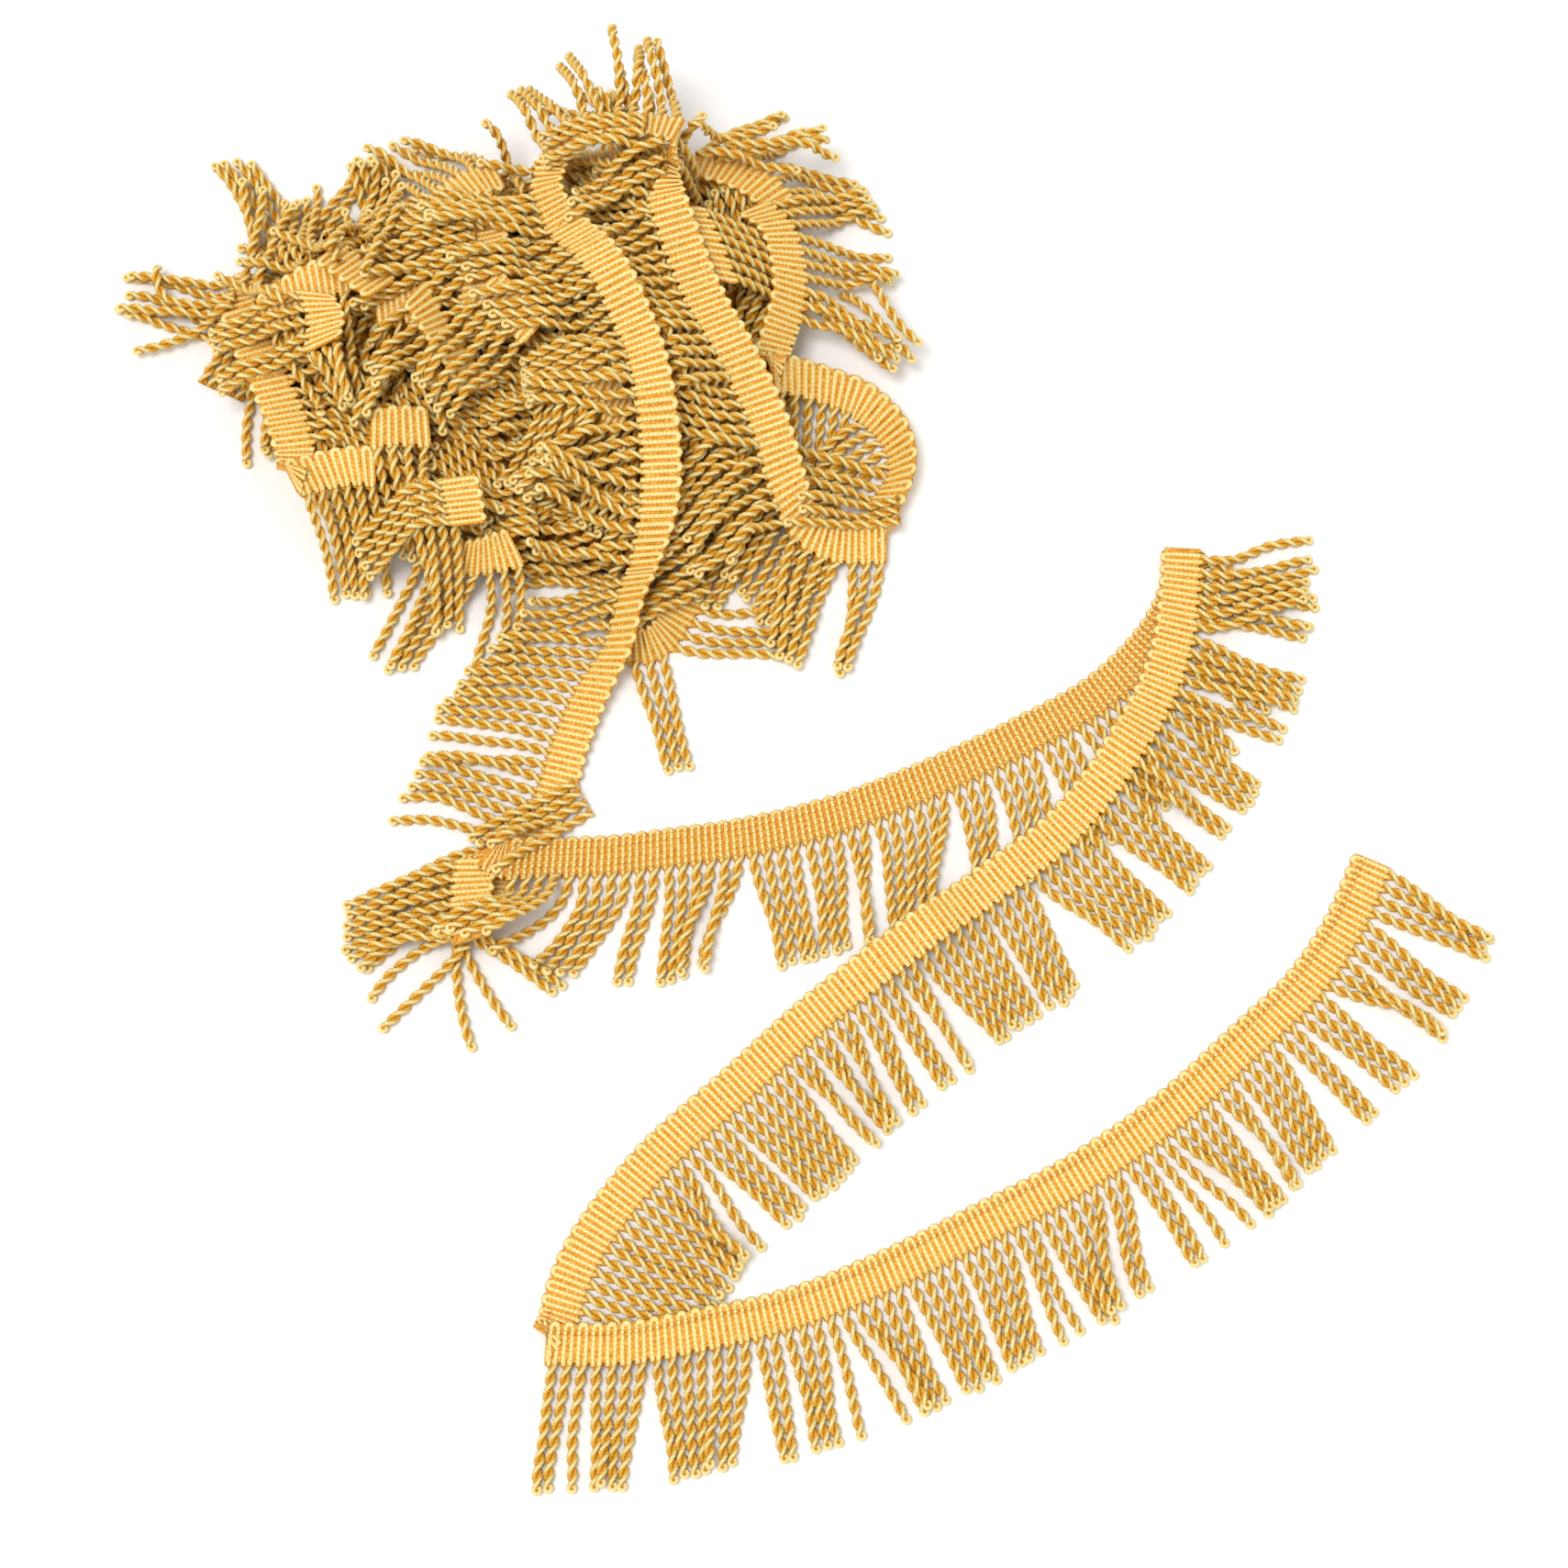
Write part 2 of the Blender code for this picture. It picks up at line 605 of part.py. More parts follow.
def make_fringe(name, stations, cord_edge, low, ground, collection, material):
    """One comb of cords: a narrow strip along the band's edge, a lock drawn out of each stretch of it."""
    tilt = stations[:, 3] / HEADING_WIDTH
    aims = np.array([compass(aim) for aim in stations[:, 2]])
    parting = PARTING + 0.5 * HEADING_THICKNESS * tilt
    inner = cord_edge[:, :2] + parting[:, None] * aims
    outer = inner + ROOT_STRIP_WIDTH * aims
    for edge in (inner, outer):
        for end, beside in ((0, 1), (-1, -2)):
            along = edge[beside] - edge[end]
            edge[end] += COMB_SHORTENING * along / np.linalg.norm(along)
    points = []
    for k in range(len(stations)):
        for place in (inner[k], outer[k]):
            points.append((*place, low[k]))
            points.append((*place, low[k] + ROOT_STRIP_HEIGHT))
    faces = [(0, 1, 3, 2)]
    last = 4 * (len(stations) - 1)
    faces.append((last, last + 1, last + 3, last + 2))
    for k in range(len(stations) - 1):
        a = 4 * k
        b = a + 4
        faces.append((a, a + 1, b + 1, b))
        faces.append((a + 1, a + 3, b + 3, b + 1))
        faces.append((a, a + 2, b + 2, b))
    centres, aims_of, widths = lock_routes(stations, outer)
    laid = []
    for k in range(len(stations) - 1):
        rows = [(outer[k], outer[k + 1])]
        order = np.dot(outer[k + 1] - outer[k], compass(aims_of[k, 0] + 90))
        for r in range(1, len(LOCK_RINGS) + 1):
            side = compass(aims_of[k, r] + 90) * math.copysign(0.5 * widths[k, r], order)
            rows.append((centres[k, r] - side, centres[k, r] + side))
        root_low = 0.5 * (low[k] + low[k + 1])
        heights = lock_heights(rows, root_low, ground)
        ring = [4 * k + 2, 4 * k + 3, 4 * k + 7, 4 * k + 6]
        for r in range(1, len(rows)):
            (left, right), z = rows[r], heights[r]
            tall = TIP_THICKNESS if r == len(rows) - 1 else CORD_THICKNESS
            inset = 0.5 * (1 - LOCK_TOP) * (right - left)
            start = len(points)
            points.append((*left, z))
            points.append((*(left + inset), z + tall))
            points.append((*(right - inset), z + tall))
            points.append((*right, z))
            following = [start, start + 1, start + 2, start + 3]
            for e in range(4):
                f = (e + 1) % 4
                faces.append((ring[e], ring[f], following[f], following[e]))
            ring = following
            above = [h + CORD_THICKNESS for h in heights]
            above[0] = root_low + CORD_THICKNESS
            laid.append(((*rows[r - 1][0], above[r - 1]), (*rows[r - 1][1], above[r - 1]),
                         (*right, above[r]), (*left, above[r])))
        faces.append(tuple(ring))
    for k in range(len(stations) - 1):
        top = ROOT_STRIP_HEIGHT
        laid.append(((*inner[k], low[k] + top), (*outer[k], low[k] + top),
                     (*outer[k + 1], low[k + 1] + top), (*inner[k + 1], low[k + 1] + top)))
    for patch in laid:
        ground.cover(patch)
    return make_mesh_object(name, points, faces, collection, material)


def lay_strips(strips, heading_name, ground, collection, band_material, cord_material):
    """Lays strips that are one continuous band, each on what lies there already."""
    pairs = []
    previous = None
    for strip in strips:
        stations = smooth_rows(strip.rows, strip.pitch)
        lowest = previous[3] + FOLD_HEIGHT if previous and strip.joint == "fold" else 0.0
        low = resting_heights(stations, ground, lowest)
        hairpins, cord_edge = band_edges(stations, low)
        middle = (hairpins + cord_edge) / 2
        if previous and strip.joint == "fold":
            way = middle[1] - middle[0]
            way[2] = 0
            after = (hairpins[0], cord_edge[0], way / np.linalg.norm(way))
            pairs.extend(fold_between(previous[:3], after))
        pairs.extend(zip(hairpins, cord_edge))
        for k in range(len(stations) - 1):
            lift = np.array([0, 0, 0.5 * HEADING_THICKNESS])
            corners = (hairpins[k], cord_edge[k], cord_edge[k + 1], hairpins[k + 1])
            ground.cover([corner + lift for corner in corners])
        way = middle[-1] - middle[-2]
        way[2] = 0
        previous = (hairpins[-1], cord_edge[-1], way / np.linalg.norm(way), low[-1])
        make_fringe("fringe_" + strip.name, stations, cord_edge, low, ground, collection, cord_material)
    make_heading(heading_name, pairs, collection, band_material)


def heap_height(x, y):
    """Height of the pile over a point of the floor, with the main twists that lie in it."""
    total = 0.0
    for lump in SWELLINGS:
        away = ((x - lump.x) / lump.reach_x) ** 2 + ((y - lump.y) / lump.reach_y) ** 2
        total += (lump.height * max(0.0, 1 - away) ** 0.8) ** SWELLING_BLEND
    smooth = total ** (1 / SWELLING_BLEND)
    twist = math.sin(2 * math.pi * (x - 0.55 * y) / TWIST_LENGTH + TWIST_TURN * x * math.sin(0.05 * y))
    return max(HEAP_RIM_HEIGHT, smooth + TWIST_HEIGHT * twist)


def lifted(point):
    """A point of the heap as the map holds it: a little higher, since a facet may bulge past its patch."""
    return (point[0], point[1], point[2] + HEAP_CLEARANCE)


def make_heap(ground, collection, material):
    """The heap's inner turns as one solid: rings of points from its middle to its outline, on a flat base."""
    outline = np.array(HEAP_OUTLINE, float)
    rim = []
    for k in range(len(outline)):
        a, b, c, d = (outline[(k + n) % len(outline)] for n in (-1, 0, 1, 2))
        for step in range(HEAP_SPOKES_PER_POINT):
            f = step / HEAP_SPOKES_PER_POINT
            rim.append(0.5 * (2 * b + (c - a) * f + (2 * a - 5 * b + 4 * c - d) * f**2
                              + (3 * b - a - 3 * c + d) * f**3))
    middle = np.array(HEAP_MIDDLE)
    points = [(*middle, heap_height(*middle))]
    for ring in range(1, HEAP_RINGS + 1):
        share = math.sin(0.5 * math.pi * ring / HEAP_RINGS)
        for place in rim:
            x, y = middle + (place - middle) * share
            height = HEAP_RIM_HEIGHT if ring == HEAP_RINGS else heap_height(x, y)
            points.append((x, y, height))
    for place in rim:
        points.append((*place, 0.0))
    count = len(rim)
    faces = []
    for k in range(count):
        n = (k + 1) % count
        faces.append((0, 1 + k, 1 + n))
        for ring in range(HEAP_RINGS):
            a = 1 + ring * count
            b = a + count
            faces.append((a + k, b + k, b + n, a + n))
        for ring in range(HEAP_RINGS - 1):
            a = 1 + ring * count
            b = a + count
            ground.cover([lifted(points[corner]) for corner in (a + k, a + n, b + n, b + k)])
        ground.cover([lifted(points[corner]) for corner in (0, 0, 1 + k, 1 + n)])
    base = 1 + HEAP_RINGS * count
    faces.append(tuple(base + k for k in range(count)))
    return make_mesh_object("heap", points, faces, collection, material)


def yarn(name, colour, roughness):
    """A satin yarn colour."""
    material = bpy.data.materials.new(name)
    material.use_nodes = True
    shader = material.node_tree.nodes["Principled BSDF"]
    shader.inputs["Base Color"].default_value = colour
    shader.inputs["Roughness"].default_value = roughness
    shader.inputs["Metallic"].default_value = 0.0
    return material


def main():
    for old in list(bpy.data.objects):
        bpy.data.objects.remove(old, do_unlink=True)
    collection = bpy.data.collections.new("fringe_trim")
    bpy.context.scene.collection.children.link(collection)
    band = yarn("band_yarn", GOLD_BAND, 0.42)
    cords = yarn("cord_yarn", GOLD_CORDS, 0.38)
    tangle = yarn("heap_yarn", GOLD_HEAP, 0.5)
    ground = Ground()
    make_heap(ground, collection, tangle)
    chain = []
    for strip in LOOSE_STRIPS:
        if strip.joint == "start" and chain:
            lay_strips(chain, "heading_" + chain[0].name, ground, collection, band, cords)
            chain = []
        chain.append(strip)
    lay_strips(chain, "heading_" + chain[0].name, ground, collection, band, cords)
    lay_strips(LONG_STRIP, "heading", ground, collection, band, cords)


main()
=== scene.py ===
"""The looks of a gold bullion fringe trim: yarn, cords, knitted band and heap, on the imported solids.

Tables and lengths are in millimetres on a table top, with +X to the right and +Y away from the viewer.
"""

import math
from collections import namedtuple

import bmesh
import bpy
import numpy as np
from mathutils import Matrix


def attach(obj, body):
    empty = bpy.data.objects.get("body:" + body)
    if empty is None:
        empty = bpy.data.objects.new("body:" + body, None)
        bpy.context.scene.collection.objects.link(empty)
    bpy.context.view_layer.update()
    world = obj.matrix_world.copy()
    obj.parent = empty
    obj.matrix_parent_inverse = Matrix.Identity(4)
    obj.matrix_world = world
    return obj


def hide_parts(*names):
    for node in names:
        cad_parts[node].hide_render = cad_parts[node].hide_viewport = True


bl_info = {
    "name": "Bullion Fringe Trim",
    "version": (1, 0, 0),
    "blender": (4, 5, 0),
    "location": "3D View > Sidebar > Fringe Trim",
    "description": "Lays out a length of twisted bullion fringe, part of it in a heap",
    "category": "Object",
}

MM = 0.001
SEED = 41

# The middle of the solids on the table top
CENTRE = np.array([1.43, 13.76, 0.0])

# The heading: a band of yarn hairpins, two ribs to a hairpin, held by chain stitches
HEADING_WIDTH = 12.6
HAIRPIN_PITCH = 4.3
RIB_RADIUS = 1.0
RIB_FLATNESS = 0.8
# A rib's lower end, drawn in a little towards its neighbour, and the points that its path then goes through
RIB_DRAWN_IN = 0.8
RIB_START = 0.8
RIB_POINTS = (-1.5, -5.0, -8.5)
# How finely a strip's curve is worked out, where across the band its pitch is measured, and the most of
# the band's width that one edge may stand above the other
CURVE_STEPS = 60
PITCH_LINE = 0.6
STEEPEST_BAND = 0.96
# The tape under the hairpins, and how far in from each edge it ends
TAPE_THICKNESS = 0.7
TAPE_INSETS = (0.08, 0.03)
FOLD_HEIGHT = 3.0
FOLD_STEPS = 5
LEAST_CREASE_TURN = 0.3
CHAIN_PILLARS = 6
STITCH_SIZE = (1.02, 0.74, 0.64)
STITCH_SLANT = 30.0
STITCH_LIFT = 0.9
FIRST_PILLAR = 0.6
PILLAR_MARGIN = 0.9
UP_AND_ASIDE = (np.array([0, 0, 1.0]), np.array([1.0, 0, 0]))
# Painted shade on the ribs under the chain stitches, and a wider painted highlight on the stitches: shifts
# along the yarn's colour ramp
SHADE_UNDER_STITCHES = 0.03
HIGHLIGHT_ON_STITCHES = -0.07

# The cords: two plies with a small closed loop at the end
CORD_LENGTH = 36.0
PLY_RADIUS = 1.0
PLY_OFFSET = 0.80
PLY_SIDES = 6
RING_STEP = 1.2
TWIST_PITCH = 9.3
LOOP_RADIUS = 0.92
LOOP_YARN = 0.74
LOOP_CENTRE = CORD_LENGTH + 0.6
# The loop's yarn values are turned so that the ramp's painted highlight lies on the loop's outer ring
LOOP_TURN = math.radians(15)
LOOP_TURN_SHARE = 0.36

# How cords cling in locks
LOCK_SIZES = (3, 4, 5, 4, 2, 5, 3, 6, 4)
LOOSE_ROOT_SPACING = 3.4
LENGTH_SPREAD = 0.015
TURN_SHARE = 0.45
GATHER_SHARE = 0.8
WAVE_SIZE = 0.45
TIP_SPACING = 3.3
CORD_CONTACT = 1.5
CORD_ON_FLOOR = 1.75
LOCK_SPREAD_DEGREES = 4.0
BEND_IN_HEAP = 16.0
BEND_IN_RUNS = 7.0
CALM_STRIPS = ("run_1", "run_2", "run_3")
STRAY_CHANCE = 0.10
STRAY_JUMP = 1.2
STRAY_POINTS = 30
PATH_STEP = 2.0

# How things lie on what is under them
MAP_CELL = 0.5
MAP_REACH = 260.0
MAP_MARGIN = 8
BAND_SINK = 0.3
CORD_SINK = 0.25
STEEPEST_DROP = 1.0
STEEPEST_CLIMB = 0.9
COMB_REACH = 13.0
LEVEL_ROOT = 2.5

# A strip of trim: its name, its rows, how it joins the strip before it, and what its upper face shows.
# A row holds x and y of the hairpin edge, the compass direction from there to the cords, how much higher
# the hairpin edge lies than the cord edge, and the direction in which the cords' tips point.
Strip = namedtuple("Strip", "name rows joint face", defaults=("start", "ribbed"))

LONG_STRIP = (
    Strip("upper", (
        (-15, 180, 35, 5, 30), (-8, 174, 20, 6, 8), (-5, 165, 5, 6, -10), (-4, 156, -5, 7, -26),
        (-6, 148, -8, 7, -38),
    )),
    Strip("loop", (
        (-4, 136, -86, 2, -94), (5, 138, -90, 2, -95), (15, 137, -95, 2, -97), (26, 133, -112, 3, -99),
    ), "fold"),
    Strip("loop_side", (
        (31, 129, -128, 4, -138), (38, 120, -146, 7, -142), (42, 108, -168, 9, -150),
        (41, 97, -184, 8, -168), (37, 88, -196, 6, -180),
    ), "on"),
    Strip("second", (
        (32, 84, -90, 1, -90), (22, 84, -91, 1, -93), (14, 85, -108, 3, -103), (9, 90, -146, 5, -122),
        (6, 99, -160, 3, -136), (2, 111, -163, 2, -148), (-3, 122, -162, 2, -156),
        (-10, 134, -160, 2, -163), (-17, 146, -162, 2, -169), (-24, 162, -165, 2, -173),
        (-30, 177, -170, 3, -177),
    ), "fold"),
    Strip("crest", (
        (-35, 191, 70, 6, 58), (-46, 195, 95, 8, 92), (-58, 194, 118, 8, 128), (-67, 189, 145, 7, 158),
    ), "fold"),
    Strip("top", (
        (-69, 182, 176, 8, 178), (-66, 175, 192, 8, 184), (-60, 169, 204, 4, 186),
        (-54, 162, 206, 2, 186), (-44, 146, 205, 2, 183), (-36, 126, 197, 2, 178),
        (-32, 106, 182, 2, 175), (-31, 88, 178, 3, 172), (-33, 75, 174, 5, 172), (-38, 63, 170, 8, 176),
    ), "on"),
    Strip("run_0", (
        (-39, 61, 170, 8, 176), (-43, 52, 169, 9, 180), (-46, 41, 168, 8, 183), (-53, 28, 164, 5, 183),
        (-60, 10, 163, 3, 186), (-64, -5, 164, 1, 184), (-69, -15, 167, 0, 184), (-77, -25, 172, 0, 190),
        (-84, -35, 180, 0, 206), (-87, -44, 188, 0, 232), (-88, -50, 194, 0, 268),
    ), "on"),
    Strip("turn", (
        (-88, -49, 196, 1, 226), (-88, -41, 186, 1, 208), (-88, -33, 181, 1, 194),
        (-87, -26, 178, 1, 176),
    ), "fold"),
    Strip("run_1", (
        (-84, -20, 264, 1, 200), (-75, -18, 265, 1, 205), (-64, -17, 267, 0, 212),
        (-50, -16, 269, 0, 238), (-36, -14, 271, 0, 260), (-15, -11, 275, 0, 271), (13, -4, 282, 0, 279),
        (41, 7, 290, 0, 281), (70, 21, 296, 0, 284), (93, 34, 304, 0, 291), (106, 46, 314, 0, 302),
        (114, 57, 330, 0, 327), (118, 67, 348, 0, 350), (119, 75, 357, 0, 365),
    ), "fold", "stitched"),
    Strip("run_2", (
        (118, 75, -3, 0, 34), (117, 63, -8, 1, 13), (115, 48, -15, 1, -9), (110, 33, -22, 1, -21),
        (102, 18, -32, 1, -31), (92, 3, -40, 0, -39), (78, -13, -48, 0, -46), (58, -28, -52, 0, -50),
        (35, -45, -54, 0, -53), (7, -66, -51, 0, -53), (-20, -91, -47, 0, -50), (-45, -114, -42, 0, -45),
        (-64, -139, -30, 0, -36), (-71, -154, -20, 0, -26), (-73, -162, -16, 0, -20),
    ), "fold"),
    Strip("run_3", (
        (-70, -167, -95, 0, -88), (-48, -167, -90, 0, -88), (-26, -163, -82, 0, -84),
        (2, -156, -75, 0, -78), (29, -145, -68, 0, -71), (57, -131, -63, 0, -66), (84, -117, -60, 0, -62),
        (113, -97, -54, 0, -57), (135, -77, -49, 0, -50), (153, -60, -41, 0, -43),
        (165, -43, -32, 0, -33), (175, -22, -24, 0, -22),
    ), "fold", "dotted"),
)

# Where other turns of the same trim come out of the heap, from the floor up
LOOSE_STRIPS = (
    Strip("west", ((-164, 164, 160, 6, 128), (-167, 156, 180, 7, 190), (-165, 148, 200, 6, 238))),
    Strip("north_west", ((-166, 166, 115, 7, 142), (-157, 169, 95, 9, 118), (-147, 168, 80, 9, 66))),
    Strip("saddle", ((-134, 164, 100, 5, 150), (-124, 166, 85, 5, 84), (-114, 164, 75, 5, 22))),
    Strip("north", ((-106, 178, 140, 4, 186), (-98, 185, 125, 5, 176), (-88, 189, 112, 5, 168))),
    Strip("north_east", (
        (-30, 193, 78, 5, 46), (-20, 191, 62, 5, 14), (-11, 187, 48, 4, -16), (-5, 180, 28, 4, -28),
    )),
    Strip("east", ((-38, 176, 4, 3, -2), (-32, 165, -2, 3, -10), (-27, 154, -6, 3, -18))),
    Strip("knot", (
        (-106, 79, 215, 5, 222), (-100, 75, 240, 8, 245), (-93, 74, 268, 9, 270), (-86, 76, 300, 6, 305),
    )),
    Strip("foot", (
        (-48, 50, 262, 7, 262), (-43, 48, 296, 9, 300), (-40, 53, 336, 8, 340), (-37, 61, 350, 5, 346),
    )),
    Strip("left", (
        (-178, 148, 25, 3, 8), (-174, 137, 22, 2, 2), (-168, 124, 18, 2, -8), (-162, 110, 14, 2, -20),
        (-159, 101, 10, 2, -32),
    )),
    Strip("left_foot", (
        (-156, 97, -62, 1, -78), (-147, 101, -66, 1, -82), (-137, 103, -76, 1, -86),
        (-127, 102, -88, 2, -92),
    ), "fold"),
    Strip("coil", ((-128, 113, -92, 3, -104), (-120, 115, -88, 3, -90), (-111, 115, -84, 3, -78))),
    Strip("crown", (
        (-166, 151, -70, 3, -84), (-156, 157, -74, 3, -82), (-146, 161, -80, 3, -80),
        (-136, 162, -86, 3, -78),
    )),
    Strip("lower", ((-118, 88, -78, 2, -104), (-109, 90, -86, 2, -96), (-99, 90, -94, 2, -88))),
    Strip("drape", ((-128, 152, -84, 3, -112), (-118, 154, -80, 3, -98), (-108, 154, -86, 3, -84))),
    Strip("under_top", (
        (-78, 182, 176, 3, 188), (-84, 170, 186, 3, 196), (-88, 158, 190, 3, 204),
        (-88, 146, 184, 3, 210), (-84, 134, 186, 3, 216),
    )),
    Strip("inner", ((-94, 90, 184, 3, 204), (-92, 82, 182, 3, 212), (-91, 74, 178, 5, 226))),
    Strip("ear", ((-140, 148, 165, 3, 160), (-136, 142, 182, 4, 184), (-137, 134, 200, 4, 208))),
    Strip("ridge", (
        (-118, 141, 58, 5, 30), (-113, 134, 46, 8, 12), (-106, 124, 36, 8, -6), (-100, 115, 28, 5, -22),
    )),
    Strip("tuft", ((-146, 156, 52, 5, 100), (-138, 150, 48, 6, 74), (-129, 143, 46, 5, 44))),
    Strip("slope", (
        (-76, 128, 268, 3, 236), (-64, 127, 256, 3, 232), (-53, 120, 248, 3, 226),
        (-46, 112, 244, 3, 222),
    )),
    Strip("shoulder", ((-88, 154, 222, 3, 218), (-79, 147, 224, 3, 222), (-72, 139, 228, 3, 228))),
)

# The pieces of yarn that the long strip is made in, with each piece's strips and solids
YARN_GROUPS = (
    ("loop_yarn", ("upper", "loop", "loop_side"), ("fringe_upper", "fringe_loop", "fringe_loop_side")),
    ("second_yarn", ("second", "crest"), ("fringe_second", "fringe_crest")),
    ("top_yarn", ("top",), ("fringe_top",)),
    ("turn_yarn", ("run_0", "turn"), ("fringe_run_0", "fringe_turn")),
    ("first_run_yarn", ("run_1",), ("fringe_run_1", "fringe_run_1_end")),
    ("second_run_yarn", ("run_2",), ("fringe_run_2", "fringe_run_2_middle", "fringe_run_2_end")),
    ("third_run_yarn", ("run_3",), ("fringe_run_3", "fringe_run_3_end")),
)

# The heap's wound core: swellings by centre, reach and height, and the heap's outline on the table
SWELLINGS = (
    (-42, 147, 50, 70, 33), (-44, 92, 42, 50, 17), (-82, 148, 52, 56, 22), (-143, 146, 42, 42, 18),
    (-100, 98, 56, 40, 13), (-140, 112, 38, 36, 9),
)
SWELLING_BLEND = 4.0
HEAP_OUTLINE = (
    (-172, 160), (-152, 178), (-124, 172), (-102, 190), (-66, 207), (-32, 209), (-3, 190), (2, 156),
    (-2, 122), (-6, 98), (-22, 76), (-44, 62), (-72, 66), (-104, 72), (-134, 84), (-156, 106),
    (-170, 134),
)
HEAP_MIDDLE = np.array([-84.0, 130.0])
CORE_INSET = 0.90
CORE_RIM_HEIGHT = 1.0
CORE_SLOPE = 0.9
CORE_RINGS = 16
CORE_SPOKES_PER_POINT = 4

# The cords that cover the core before the strips are laid
COVER_SPACING = 16.2
COVER_LOCK = 5
COVER_INSET = 1.0
COVER_TRIES = 8
COVER_JITTER = 4
COVER_ROOT_SPACING = 3.3
COVER_SWING = 28
COVER_BEND = 12
RIM_SPACING = 22.0
RIM_LOCK = 3
RIM_SWING = 8
COVER_PARTS = (-110.0, -62.0)

# Locks of cords whose band is out of sight: x and y of where they come out, which way, how far they turn
# and how many cords. Some lie under the long strip. Some lie over it, as part of a piece of its yarn.
LOCKS_UNDER = (
    (-18, 78, -140, 20, 5), (-8, 88, -128, 10, 5), (4, 92, -122, 8, 5),
    (-4, 102, -135, 10, 5), (14, 82, -118, 10, 4), (-26, 66, -150, 15, 4),
    (-14, 98, -160, 20, 5), (-40, 186, 165, 20, 5),
    (-36, 178, 175, 10, 5), (-50, 192, 150, 30, 4),
    (-136, 172, 60, 40, 4), (-150, 166, 130, -30, 4),
    (-92, 176, 170, 15, 5), (-96, 166, 190, 10, 5),
)
LOCKS_OVER = (
    ("second_yarn", -43, 196, 176, 16, 4), ("second_yarn", -37, 188, 185, 10, 3),
    ("loop_yarn", 36, 87, 184, -4, 3), ("turn_yarn", -62, -5, 212, 12, 4),
)

# Single cords that stray from the heap: x and y of where each comes out, of a point on its way and of its
# tip, and how high it lies
STRAYS = (
    (-171, 184, -173, 192, -174, 200, 8), (-168, 183, -167, 190, -167, 196, 10),
    (-161, 181, -159, 187, -156, 191, 9), (-145, 180, -147, 186, -150, 190, 8),
    (-136, 168, -140, 190, -150, 199, 10), (-134, 175, -129, 185, -126, 192, 8),
    (-129, 168, -123, 185, -120, 197, 12), (-123, 174, -121, 180, -118, 185, 9),
    (-180, 157, -199, 158, -200, 171, 5), (-180, 153, -196, 155, -212, 156, 6),
    (-182, 151, -197, 144, -209, 142, 4), (-153, 173, -163, 179, -174, 183, 14),
    (-158, 164, -171, 168, -184, 171, 14), (-162, 152, -175, 161, -186, 166, 16),
    (-90, 207, -94, 213, -103, 216, 22), (-87, 198, -96, 199, -103, 201, 20),
    (-49, 208, -51, 221, -55, 232, 42), (-53, 209, -56, 219, -61, 227, 42),
    (-55, 210, -59, 216, -64, 220, 40), (-57, 209, -63, 214, -69, 216, 40),
    (-62, 208, -72, 211, -81, 209, 36), (-42, 206, -42, 216, -42, 225, 44),
    (-37, 206, -32, 211, -26, 213, 36), (-32, 203, -26, 208, -19, 211, 34),
    (-29, 205, -24, 210, -20, 216, 34), (-28, 193, -48, 202, -65, 198, 46),
    (-30, 189, -46, 196, -62, 193, 44), (-25, 205, -3, 210, 3, 216, 24),
    (-10, 203, 1, 206, 12, 211, 22), (-5, 203, 5, 205, 14, 208, 20), (0, 204, 9, 204, 19, 202, 18),
    (-9, 199, 0, 198, 8, 197, 20), (28, 165, 35, 149, 45, 140, 12), (21, 160, 32, 148, 42, 135, 10),
    (9, 156, 21, 144, 34, 134, 10), (5, 159, 18, 148, 30, 136, 12), (-100, -55, -99, -70, -95, -83, 2),
    (-97, -55, -91, -66, -83, -77, 2), (-90, -53, -80, -59, -70, -67, 2),
    (-88, -52, -77, -58, -67, -65, 2), (-103, -59, -114, -70, -122, -78, 2),
)

# The yarn's colours, from the painted shade of the deepest creases to the painted highlight
YARN_COLOURS = ("crease", "shadow", "body", "light", "gleam", "cream")

# The lamp above, in degrees
LAMP_TILT = (6, -14, 0)
LAMP_WIDTH = 25

# The camera: how far off and how high it stands, and how much of the table one picture point shows
PICTURE_POINTS = 1709
POINT_SIZE = 0.284
CAMERA_DISTANCE = 1250.0
CAMERA_ELEVATION = 74.0
SENSOR_WIDTH = 36.0
TABLE_SIZE = 6.0

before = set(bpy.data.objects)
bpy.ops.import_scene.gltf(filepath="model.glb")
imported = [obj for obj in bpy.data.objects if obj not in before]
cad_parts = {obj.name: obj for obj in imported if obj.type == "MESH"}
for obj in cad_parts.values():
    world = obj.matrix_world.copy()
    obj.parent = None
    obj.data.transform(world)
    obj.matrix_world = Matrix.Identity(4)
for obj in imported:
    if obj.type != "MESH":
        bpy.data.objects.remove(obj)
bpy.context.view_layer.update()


def linear(code):
    """A colour written as six hexadecimal figures, as linear red, green, blue and alpha."""
    parts = [int(code[n:n + 2], 16) / 255 for n in (0, 2, 4)]
    return (*[((p + 0.055) / 1.055) ** 2.4 if p > 0.04045 else p / 12.92 for p in parts], 1.0)


def compass(degrees):
    """Unit vector on the table top; degrees may be an array."""
    turn = np.radians(degrees)
    return np.stack([np.cos(turn), np.sin(turn)], axis=-1)


def ease(share):
    """Smooth step from 0 to 1."""
    held = np.clip(share, 0, 1)
    return held * held * (3 - 2 * held)


def gaps(line):
    """Distance from each point of a line to the next."""
    return np.linalg.norm(np.diff(line, axis=0), axis=1)


def running(steps):
    """How far each point lies along a line, given the steps between its points."""
    return np.concatenate([[0], np.cumsum(steps)])


def sample(at, travelled, values):
    """The rows of a table of values at the given distances."""
    return np.stack([np.interp(at, travelled, column) for column in values.T], axis=1)


def midway(values):
    """Half way between each value and the next."""
    return 0.5 * (values[1:] + values[:-1])


def softened(values):
    """Each inner value drawn towards its neighbours."""
    return (values[:-2] + 2 * values[1:-1] + values[2:]) / 4


